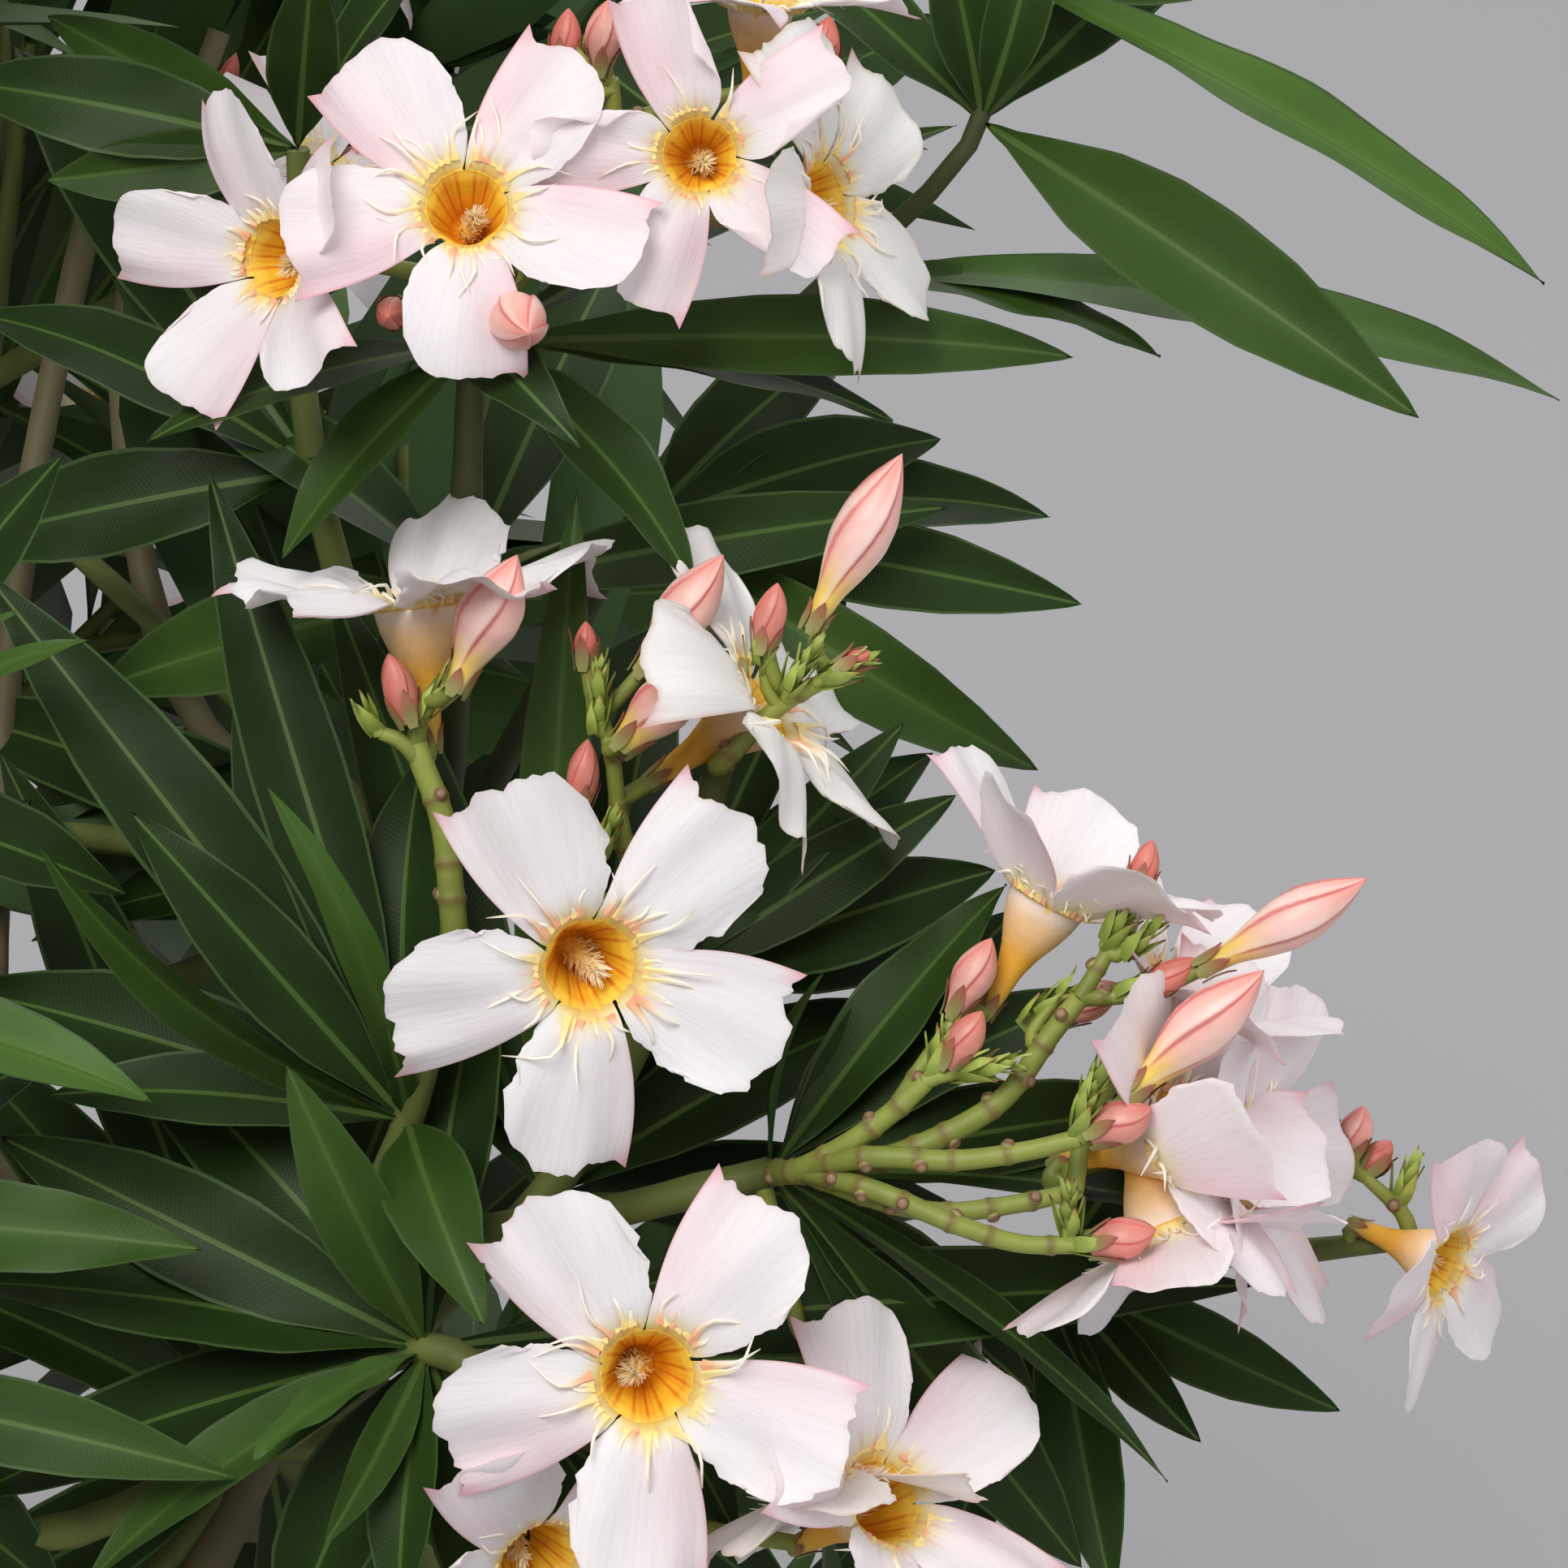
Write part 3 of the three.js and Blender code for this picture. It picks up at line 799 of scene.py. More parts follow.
def makeLimbs(parent):
    random = seeded(4000 + parent["index"])
    own = [b for b in boughs if b["parent"] is parent]
    path = parent["path"]
    shares = np.linspace(0, 1, 140)
    runs = [(path, scarred(stemRadius(path, shares), path, random))]
    for b in own:
        shares = np.linspace(0, 1, 70)
        swell = bark["collar"] * np.exp(-shares * b["path"]["run"][-1] / 14)
        runs.append((b["path"], scarred(boughRadius(shares) + swell, b["path"], random)))
    limbs = [limbCurve(p, radii, f"limb_{k}") for k, (p, radii) in enumerate(runs)]
    deselectAll()
    for limb in limbs:
        limb.select_set(True)
    bpy.context.view_layer.objects.active = limbs[0]
    bpy.ops.object.convert(target="MESH")
    bpy.ops.object.join()
    piece = bpy.context.object
    piece.name = piece.data.name = f"bark_of_stem_{parent['index'] + 1}"
    piece.data.remesh_voxel_size = bark["voxel"] * millimetre
    bpy.ops.object.voxel_remesh()
    smoothing = piece.modifiers.new("smoothing", "SMOOTH")
    smoothing.iterations = 4
    for name, size, strength in (
        ("lumps", bark["reliefSize"], bark["relief"]),
        ("grain", bark["roughSize"], bark["rough"]),
    ):
        texture = bpy.data.textures.new(name, "CLOUDS")
        texture.noise_scale = size * millimetre
        relief = piece.modifiers.new(name, "DISPLACE")
        relief.texture = texture
        relief.texture_coords = "LOCAL"
        relief.strength = strength * millimetre
        relief.mid_level = 0.5
    applyModifiers(piece)
    bpy.ops.object.shade_smooth()
    nodes = [f"stem_{parent['index'] + 1}"] + [f"bough_{b['name']}" for b in own]
    return piece, nodes


def barkMaterial():
    skin = newMaterial("bark", (0.2, 0.165, 0.12), 0.85, 0.3)
    place = objectPlace(skin, (1, 1, 0.28))
    streaks = rampOf(
        skin,
        noiseOf(skin, place, 110, 6, 0.65),
        [(0.3, (0.11, 0.085, 0.058)), (0.5, (0.235, 0.19, 0.135)), (0.72, (0.37, 0.32, 0.25))],
    )
    flat = objectPlace(skin, (1, 1, 2.2))
    pores = rampOf(skin, noiseOf(skin, flat, 330, 1), [(0.58, (1, 1, 1)), (0.68, (1.5, 1.4, 1.2))])
    moss = [(0.45, (1, 1, 1)), (0.75, (0.78, 0.86, 0.62))]
    mossy = rampOf(skin, noiseOf(skin, objectPlace(skin), 14, 4), moss)
    colourFrom(skin, multiplied(skin, multiplied(skin, streaks, pores), mossy))
    addBump(skin, noiseOf(skin, place, 260, 5, 0.7), 0.55, 0.0009)
    return skin


barkSkin = barkMaterial()
for parent in stems:
    barkPiece, barkNodes = makeLimbs(parent)
    barkPiece.data.materials.clear()
    barkPiece.data.materials.append(barkSkin)
    keepPiece(barkPiece, barkNodes)
print("stems and boughs made")

# Growth of a mass, draw for draw as in the source, then its finer whorls and side shoots
fine = {
    "whorlsAt": (0.24, 0.42, 0.6, 0.77, 0.92),
    "stemWhorlsAt": (0.42, 0.8),
    "leafLength": (98, 128),
    "leafWidth": (17, 22),
    "angles": (66, 40),
    "droop": (0.0, 0.14),
    "shootsAt": (0.34, 0.52, 0.7),
    "shootLength": (48, 74),
    "shootAngle": (38, 56),
    "shootWhorlsAt": (0.38, 0.68, 0.95),
    "shootLeaf": (78, 112),
    "shootAngles": (62, 38),
    "tipLeaf": (38, 62),
    "tipAngle": (14, 28),
    "leafRoom": 7.25,
    "shootRoom": 2,
}


def addWhorl(grown, own, at, axis, phase, open, droop, lengths, tone, inBox=True):
    for j, grownLength in enumerate(lengths):
        out = tipped(axis, open, phase + 120 * j)
        for length in (grownLength, grownLength * growth["shortLeaf"]):
            tip = at + out * length - upward * droop * length
            start = at + (tip - at) * 0.1
            if not fits(own, pointsAlong(start, tip, 5), fine["leafRoom"], inBox):
                continue
            base = at + axis * leaf["stagger"] * (j - 1)
            grown["leaves"].append(
                {"base": base, "tip": tip, "facing": axis, "tone": tone, "length": length}
            )
            break


def growMass(own):
    b = boughs[own]
    random = seeded(b["seed"])
    grown = {"twigs": [], "leaves": [], "heads": []}

    def sourceWhorl(at, axis, phase):
        open = random(*growth["leafAngle"])
        droop = random(*growth["droop"])
        lengths = [leaf["length"] * random(0.86, 1.06) for _ in range(3)]
        addWhorl(grown, own, at, axis, phase, open, droop, lengths, 0, inBox=False)

    foot = b["end"] + b["heads"] * 0.3
    heart = b["heart"]
    root = b["end"] - b["heads"] * 3
    grown["twigs"].append({"from": root, "to": heart, "radii": (3.6, twig["footRadius"])})
    phase = random(0, 120)
    sourceWhorl(foot + (heart - foot) * growth["stemWhorlAt"], b["heads"], phase)
    firstPhase = random(0, 120)
    for k in range(3):
        phase = firstPhase + 120 * k + random(-12, 12)
        out = tipped(b["heads"], random(*growth["spread"]), phase)
        out = unit(out + upward * growth["lift"])
        end = heart + out * random(*growth["twigLength"])
        whorlPhase = random(0, 120)
        flowers = random(0, 1) < growth["flowering"]
        if not fits(own, pointsAlong(heart, end, 5), 3.2, False):
            continue
        radii = (twig["forkRadius"], twig["tipRadius"])
        grown["twigs"].append(
            {"from": heart, "to": end, "radii": radii, "phase": whorlPhase, "flowers": flowers}
        )
        for w, share in enumerate(growth["whorlsAt"]):
            sourceWhorl(heart + (end - heart) * share, out, whorlPhase + 60 * w)
        if flowers:
            grown["heads"].append({"at": end, "axis": out})
    return grown


# Whorls closer together than the source's, with leaves that stand up more towards the tip.
def addFineGrowth(grown, own, seed):
    random = seeded(seed)
    coarse = list(grown["twigs"])
    for t, rod in enumerate(coarse):
        start, end = rod["from"], rod["to"]
        axis = unit(end - start)
        phase = rod.get("phase", random(0, 120))
        tone = 1 + int(random(0, 3))
        places = fine["whorlsAt"] if t else fine["stemWhorlsAt"]
        grownAt = growth["whorlsAt"] if t else (growth["stemWhorlAt"],)
        for w, share in enumerate(places):
            if any(abs(share - taken) < 0.03 for taken in grownAt):
                continue
            open = mixed(*fine["angles"], share) + random(-5, 5)
            lengths = [random(*fine["leafLength"]) for _ in range(3)]
            turn = phase + 60 * (w % 2) + random(-9, 9)
            at = start + (end - start) * share
            addWhorl(grown, own, at, axis, turn, open, random(*fine["droop"]), lengths, tone)
        if t and not rod.get("flowers"):
            addTip(grown, own, end, axis, phase, random)
        for n, share in enumerate(fine["shootsAt"] if t else (0.5,)):
            at = start + (end - start) * share
            out = tipped(axis, random(*fine["shootAngle"]), phase + 137 * n + random(-20, 20))
            out = unit(out + upward * 0.2)
            shootEnd = at + out * random(*fine["shootLength"])
            if not fits(own, pointsAlong(at, shootEnd, 4), fine["shootRoom"], True):
                continue
            grown["twigs"].append({"from": at, "to": shootEnd, "radii": (1.9, 1.3)})
            shootPhase = random(0, 120)
            for w, place in enumerate(fine["shootWhorlsAt"]):
                lengths = [random(*fine["shootLeaf"]) for _ in range(3)]
                open = mixed(*fine["shootAngles"], place) + random(-5, 5)
                turn = shootPhase + 60 * (w % 2) + random(-9, 9)
                whorlAt = at + (shootEnd - at) * place
                addWhorl(grown, own, whorlAt, out, turn, open, random(0, 0.1), lengths, tone)
            addTip(grown, own, shootEnd, out, shootPhase, random)


def addTip(grown, own, at, axis, phase, random):
    for w in range(2):
        lengths = [random(*fine["tipLeaf"]) * (1 - 0.3 * w) for _ in range(3)]
        open = random(*fine["tipAngle"]) * (1 - 0.4 * w)
        addWhorl(grown, own, at, axis, phase + 60 * w, open, 0, lengths, 4)


masses = {}
for own, b in enumerate(boughs):
    if b["name"] not in handSet:
        masses[own] = growMass(own)
print("leaves before the finer growth:", sum(len(m["leaves"]) for m in masses.values()))


def massesOf(parent):
    return {own: grown for own, grown in masses.items() if boughs[own]["parent"] is parent}


# Blades of many leaves at once: each has an upper side folded at the midrib, and an underside.
bladeShape = {
    "at": (0, 0.03, 0.07, 0.15, 0.28, 0.42, 0.54, 0.68, 0.81, 0.91, 0.97, 1),
    "width": (0, 0.09, 0.15, 0.4, 0.78, 0.97, 1, 0.88, 0.62, 0.34, 0.14, 0),
    "rib": (0.52, 0.16),
}
crownBlade = {
    "stations": (0, 0.07, 0.2, 0.4, 0.6, 0.8, 0.93, 1),
    "columns": (-1, -0.1, 0.1, 1),
    "kinds": (0, 5, 0),
    "underColumns": (-1, 0, 1),
    "ribColumn": 0.1,
    "thickness": 0.5,
}
closeBlade = {
    "stations": tuple(np.linspace(0, 1, 31) ** 0.94),
    "columns": (-1, -0.93, -0.7, -0.42, -0.2, -0.08, 0, 0.08, 0.2, 0.42, 0.7, 0.93, 1),
    "kinds": (7, 0, 0, 0, 0, 5, 5, 0, 0, 0, 0, 7),
    "underColumns": (-1, -0.7, -0.3, -0.08, 0.08, 0.3, 0.7, 1),
    "ribColumn": 0.08,
    "thickness": 0.45,
}


# Each leaf holds its base, tip and facing, and what is its own. hue is its colour where a skin reads tints.
def addBlades(heap, leaves, form):
    count = len(leaves)
    base = np.array([l["base"] for l in leaves])
    tip = np.array([l["tip"] for l in leaves])
    facing = np.array([l["facing"] for l in leaves])
    value = lambda key, usual: np.array([l.get(key, usual) for l in leaves], float)[:, None]
    width, arch, fold = value("width", 19), value("arch", 0.05), value("fold", 0.22)
    twist, roll, wave, phase = value("twist", 0), value("roll", 0), value("wave", 0), value("phase", 0)
    tone = np.array([l.get("tone", 0) for l in leaves])
    hue = np.array([l.get("hue", (1, 1, 1)) for l in leaves], float)[:, None, None]
    t = np.array(form["stations"])
    along = tip - base
    length = np.linalg.norm(along, axis=1, keepdims=True)
    ahead = along / length
    upper = units(facing - ahead * np.sum(facing * ahead, axis=1, keepdims=True))
    across = np.cross(ahead, upper)
    first = np.cos(np.radians(roll)) * upper + np.sin(np.radians(roll)) * across
    upper, across = first, np.cross(ahead, first)
    lift = arch * length * (4 * t * (1 - t))[None, :] * (1 + 0.35 * (t[None, :] - 0.5))
    centre = base[:, None] + along[:, None] * t[None, :, None] + upper[:, None] * lift[:, :, None]
    turn = np.radians(twist) * (t[None, :] - 0.4)
    side = across[:, None] * np.cos(turn)[:, :, None] + upper[:, None] * np.sin(turn)[:, :, None]
    normal = upper[:, None] * np.cos(turn)[:, :, None] - across[:, None] * np.sin(turn)[:, :, None]
    half = (0.5 * width * np.interp(t, bladeShape["at"], bladeShape["width"])[None, :])[:, :, None]
    rib = mixed(*bladeShape["rib"], t)[None, :, None] / np.maximum(half, 0.5)

    def surface(columns, sunk):
        s = np.array(columns, float)[None, None, :] + 0 * half
        inner, share = form["ribColumn"], np.minimum(rib, 0.45)
        outer = share + (np.abs(s) - inner) / (1 - inner) * (1 - share)
        s = np.sign(s) * np.where(np.abs(s) <= inner, np.abs(s) / inner * share, outer)
        rise = fold[:, :, None] * np.abs(s) ** 1.3 * half
        ripple = np.sin(t[None, :, None] * 19 + phase[:, :, None] + s * 2.2)
        rise = rise + wave[:, :, None] * np.abs(s) ** 2 * ripple
        rise = rise - sunk * (1 - s**4) * (np.sin(np.pi * t) ** 0.5)[None, :, None]
        run = t[None, :, None] * length[:, :, None] + 0 * s
        spots = np.stack([s * half, run, phase[:, :, None] + 0 * s], axis=-1)
        places = centre[:, :, None] + side[:, :, None] * (s * half)[..., None]
        return places + normal[:, :, None] * rise[..., None], s, spots

    rows = len(t)
    kinds = np.tile(np.array(form["kinds"]), rows - 1)
    top, s, spots = surface(form["columns"], 0)
    pale = ease(0.3, 0.02, np.abs(s))[..., None] * 0.35 + ease(0.8, 1, np.abs(s))[..., None] * 0.1
    tints = hue * (1 + pale) + 0 * top
    for sheet, places, own, tints in (
        (form["columns"], top, np.where(kinds[None] == 0, tone[:, None], kinds[None]), tints),
        (form["underColumns"], surface(form["underColumns"], form["thickness"])[0], None, hue),
    ):
        faces = gridFaces(rows, len(sheet))
        if own is None:
            faces = faces[:, ::-1]
            own = np.full((count, len(faces)), 6)
            tints = hue + 0 * places
            spots = np.zeros_like(places)
        faces = faces[None] + (np.arange(count) * rows * len(sheet))[:, None, None]
        addTo(heap, places, faces.reshape(-1, 4), own.reshape(-1), tints, spots)


# Leaf tones from darkest to freshest. Tone 0 is partly the darker colour of older leaves and partly painted
# shade, given to near leaves deep in the growth and in its dark gaps.
leafHues = ((0.013, 0.03, 0.0048), (0.019, 0.042, 0.0064), (0.032, 0.067, 0.0105), (0.056, 0.116, 0.02))


def leafMaterials():
    tones = [
        ("leaf_dark", leafHues[0]),
        ("leaf_deep", leafHues[1]),
        ("leaf_mid", leafHues[2]),
        ("leaf_fresh", leafHues[3]),
        ("leaf_young", (0.09, 0.18, 0.033)),
        ("leaf_rib", (0.066, 0.118, 0.022)),
        ("leaf_underside", (0.044, 0.088, 0.026)),
        ("leaf_margin", (0.048, 0.088, 0.024)),
    ]
    made = []
    for name, colour in tones:
        skin = newMaterial(name, colour, 0.46 if name != "leaf_underside" else 0.6, 0.18)
        place = objectPlace(skin)
        addBump(skin, noiseOf(skin, place, 900, 2), 0.12, 0.0003)
        made.append(skin)
    return made


foliage = leafMaterials()


# The leaves that are seen close by: fine side veins that run outwards and a little forwards
def closeLeafMaterial():
    skin = newMaterial("leaf_close", leafHues[1], 0.46, 0.14)
    spot = addNode(skin, "ShaderNodeAttribute", attribute_name="spot").outputs["Vector"]
    parts = addNode(skin, "ShaderNodeSeparateXYZ")
    link(skin, spot, parts.inputs[0])
    outwards = mathNode(skin, "ABSOLUTE", parts.outputs["X"])
    slant = mathNode(skin, "MULTIPLY_ADD", outwards, -0.55, parts.outputs["Y"])
    bend = mathNode(skin, "MULTIPLY", noiseOf(skin, objectPlace(skin), 160, 2), 14)
    veins = mathNode(skin, "SINE", mathNode(skin, "MULTIPLY_ADD", slant, 9, bend))
    veined = rampOf(skin, veins, [(0.0, (0.98, 0.985, 0.98)), (1.0, (1.03, 1.02, 1.03))])
    clouds = [(0.3, (0.82, 0.85, 0.8)), (0.7, (1.2, 1.17, 1.2))]
    cloudy = rampOf(skin, noiseOf(skin, objectPlace(skin), 45, 4), clouds)
    colourFrom(skin, multiplied(skin, tintOf(skin), multiplied(skin, veined, cloudy)))
    addBump(skin, veins, 0.07, 0.0001)
    return skin


closeFoliage = [closeLeafMaterial()] * 5 + foliage[5:]


def dressLeaves(leaves, random):
    for l in leaves:
        long = l.get("length", 110)
        l["width"] = random(*fine["leafWidth"]) * (0.55 + 0.45 * min(1, long / 115))
        l["arch"] = random(0.02, 0.1)
        l["fold"] = random(0.16, 0.34)
        l["twist"] = random(-22, 22)
        l["roll"] = random(-14, 14)
        if l["tone"] == 0:
            l["tone"] = int(random(0, 3.4))


for own, grown in masses.items():
    addFineGrowth(grown, own, 900 * (own + 1) + 17)

crownLeaves = 0
for parent in stems:
    heap = newHeap()
    leaves = [l for grown in massesOf(parent).values() for l in grown["leaves"]]
    dressLeaves(leaves, seeded(5100 + parent["index"]))
    addBlades(heap, leaves, crownBlade)
    nodes = [f"mass_{boughs[own]['name']}" for own in massesOf(parent)]
    makePiece(f"leaves_of_stem_{parent['index'] + 1}", heap, foliage, nodes)
    crownLeaves += len(leaves)
print("crown leaves made:", crownLeaves)


def shootMaterial(name, low, high):
    skin = newMaterial(name, mixed(low, high, 0.5), 0.6, 0.35)
    place = objectPlace(skin, (1, 1, 0.4))
    colourFrom(skin, rampOf(skin, noiseOf(skin, place, 60, 3), [(0.35, low), (0.65, high)]))
    addBump(skin, noiseOf(skin, place, 400, 3), 0.3, 0.0004)
    return skin


youngShoot = shootMaterial("young_shoot", (0.085, 0.105, 0.022), (0.17, 0.2, 0.045))
ripeShoot = shootMaterial("ripening_shoot", (0.11, 0.09, 0.042), (0.17, 0.15, 0.075))


def addRod(heap, start, end, radii, sides, kind=0):
    path = pathThrough([start, (start + end) / 2, end], 12)
    knots = np.linspace(0, 1, 7)
    wide = mixed(radii[0], radii[1], knots) * (1 + 0.12 * (np.arange(7) % 2))
    addTube(heap, path, wide, sides, 7, kind)


for parent in stems:
    heap = newHeap()
    for grown in massesOf(parent).values():
        for t, rod in enumerate(grown["twigs"]):
            addRod(heap, rod["from"], rod["to"], rod["radii"], 7, 1 if t == 0 else 0)
    makePiece(f"twigs_of_stem_{parent['index'] + 1}", heap, [youngShoot, ripeShoot])
print("twigs made")

# A bloom in its own frame: its foot at the origin, and its face towards +Z.
petalForm = {
    "side": (-1, -0.8, -0.55, -0.25, 0, 0.3, 0.6, 0.85, 1),
    "out": (17.5, 22.5, 26.4, 28.6, 29.3, 29.2, 28.3, 28.3, 29.8),
    "across": (-10.6, -11.0, -9.4, -6.4, -3.3, 0.3, 3.2, 5.3, 6.9),
    "baseHalfAngle": 34,
    "rimRadius": 6.1,
    "rimHeight": 20,
    "thickness": 0.3,
}
petalTints = {
    "white": (0.945, 0.9, 0.902),
    "blush": (0.93, 0.66, 0.7),
    "pink": (0.85, 0.36, 0.43),
    "cream": (0.95, 0.78, 0.36),
    "gold": (0.95, 0.57, 0.03),
    "deepGold": (0.9, 0.4, 0.012),
    "rim": (0.95, 0.64, 0.09),
    "stripe": (0.68, 0.09, 0.012),
    "tan": (0.55, 0.36, 0.16),
    "worn": (0.9, 0.84, 0.66),
    "streak": (0.82, 0.2, 0.22),
    "filament": (0.94, 0.88, 0.76),
    "plume": (0.92, 0.7, 0.3),
    "sepal": (0.3, 0.3, 0.1),
    "sepalTip": (0.36, 0.12, 0.07),
}
fineBloom = {
    "rows": 22,
    "columns": 33,
    "tubeSides": 40,
    "throatSides": 150,
    "throatRows": 16,
    "fingers": 7,
    "hairs": 150,
}
farBloom = {"tubeSides": 10, "throatSides": 10, "throatRows": 4, "fingers": 3, "hairs": 0}

# Stripes of the throat: degrees from a petal's middle, and strength
throatStripes = ((-21, 0.9), (-9, 0.4), (0, 1), (9, 0.4), (21, 0.9))


def stripeAt(across):
    return sum(share * np.exp(-(((across - place) / 3) ** 2)) for place, share in throatStripes)


def gridNormals(grid):
    down = np.gradient(grid, axis=0)
    across = np.gradient(grid, axis=1)
    return units(np.cross(down, across))


# One petal. t runs from the throat to the outer edge and v from the clockwise side, -1, to the other.
def petalPlaces(t, v, looks, random):
    form = petalForm
    phases = [random(0, 6.3) for _ in range(8)]
    out = np.interp(v, form["side"], form["out"])
    across = np.interp(v, form["side"], form["across"])
    ragged = 0.55 * np.sin(7 * v + phases[0]) + 0.4 * np.sin(15 * v + phases[1])
    ragged = ragged - 0.5 * np.abs(np.sin(12 * v + phases[2])) + 0.22 * np.sin(29 * v + phases[6])
    ragged = ragged * looks["ragged"] * ease(0.97, 0.7, v)
    base = np.radians(form["baseHalfAngle"]) * v
    baseOut, baseAcross = form["rimRadius"] * np.cos(base), form["rimRadius"] * np.sin(base)
    t, v = t[:, None], v[None, :]
    run = (out + ragged - baseOut)[None, :] * t
    side = baseAcross + (across - baseAcross) * t ** (1 - 0.12 * np.maximum(-v, 0))
    side = side + 1.7 * np.sin(np.pi * t) * np.maximum(v, 0) ** 1.5
    side = side - 1.1 * np.sin(np.pi * t) * np.maximum(-v, 0) ** 2
    side = side * (1 - looks["point"] * np.maximum(-v, 0) ** 0.7 * t**1.6)
    torn = np.sin(t * 17 + phases[3]) + 0.5 * np.sin(t * 39)
    side = side - 0.7 * looks["ragged"] * np.maximum(-v, 0) ** 6 * t * torn
    # the petal leaves the throat at a slant, spreads, and curls back or up towards its edge
    spread = ease(0, 7, run)
    angle = looks["flare"] + (looks["open"] + looks["twist"] * v - looks["flare"]) * spread
    angle = np.radians(angle + looks["curl"] * (run / 24) ** 2)
    steps = np.diff(run, axis=0, prepend=0)
    outwards = baseOut[None, :] + np.cumsum(np.sin(angle) * steps, axis=0)
    rise = form["rimHeight"] + np.cumsum(np.cos(angle) * steps, axis=0)
    wavy = 0.5 * t * np.sin(6.5 * v + phases[4]) + 0.5 * t**2 * np.sin(3.1 * v + 5 * t + phases[5])
    wavy = wavy - looks["cup"] * (v - 0.1) ** 2 * np.sin(np.pi * np.clip(t, 0, 1) * 0.75) * 1.5
    rise = rise + looks["wavy"] * wavy + 4 * looks["point"] * np.maximum(-v, 0) * np.sin(np.pi * 0.6 * t)
    return np.stack([outwards, side + 0 * outwards, rise], axis=-1)


def toned(colour, towards, share):
    return colour + (np.asarray(towards) - colour) * share[..., None]


def petalColours(t, v, looks, outside):
    tint = petalTints
    t, v = np.broadcast_arrays(t[:, None], v[None, :])
    blush = looks["blush"] * (0.25 + 0.75 * ease(-0.3, 1, v)) * ease(0.05, 0.5, t)
    blush = blush + 0.5 * looks["blush"] * ease(0.9, 0.2, t) * ease(-1, 0.8, v)
    corner = np.exp(-(((v - 1) * 6) ** 2) - ((t - 1) * 10) ** 2)
    line = ease(0.95, 1, v) * (0.3 + 0.6 * looks["blush"]) * ease(0.08, 0.3, t)
    pink = np.clip(0.75 * corner + line, 0, 0.85)
    if outside:
        blush = np.clip(blush + 0.18 + 0.25 * ease(0.2, 1, v), 0, 1)
    pinker = np.subtract(tint["blush"], tint["white"])
    colour = np.asarray(tint["white"]) + pinker * np.clip(blush, 0, 1)[..., None]
    colour = toned(colour, tint["pink"], pink)
    creamRun = 0.3 if outside else 0.2
    cream = ease(creamRun + 0.06 * np.cos(v * 2.2), 0.05, t)
    colour = toned(colour, tint["cream"], cream * 0.9)
    gold = ease(0.04 + 0.1 * np.cos(v * 1.4) ** 2, 0.0, t)
    colour = toned(colour, tint["gold"], gold * 0.85)
    if not outside:
        streak = np.exp(-(((v - 0.3) / 0.05) ** 2)) + np.exp(-(((v + 0.3) / 0.05) ** 2))
        streak = streak * ease(0.3, 0.1, t)
        colour = toned(colour, tint["streak"], np.clip(0.5 * streak, 0, 1))
    edge = np.clip(ease(0.95, 1, t) + ease(0.93, 1, np.abs(v)), 0, 1) * looks["faded"]
    colour = toned(colour, tint["tan"], 0.75 * edge)
    return colour + (np.asarray(tint["worn"]) - colour) * (0.35 * looks["faded"])


usualLooks = {
    "open": 84,
    "flare": 38,
    "twist": 9,
    "curl": 7,
    "cup": 0.7,
    "wavy": 1.0,
    "ragged": 1.0,
    "blush": 0.3,
    "faded": 0.0,
    "point": 0.0,
    "opens": (0, 0, 0, 0, 0),
    "curls": (0, 0, 0, 0, 0),
}


def turnedAbout(places, angle):
    c, s = math.cos(angle), math.sin(angle)
    x, y = places[..., 0], places[..., 1]
    return np.stack([x * c - y * s, x * s + y * c, places[..., 2]], axis=-1)


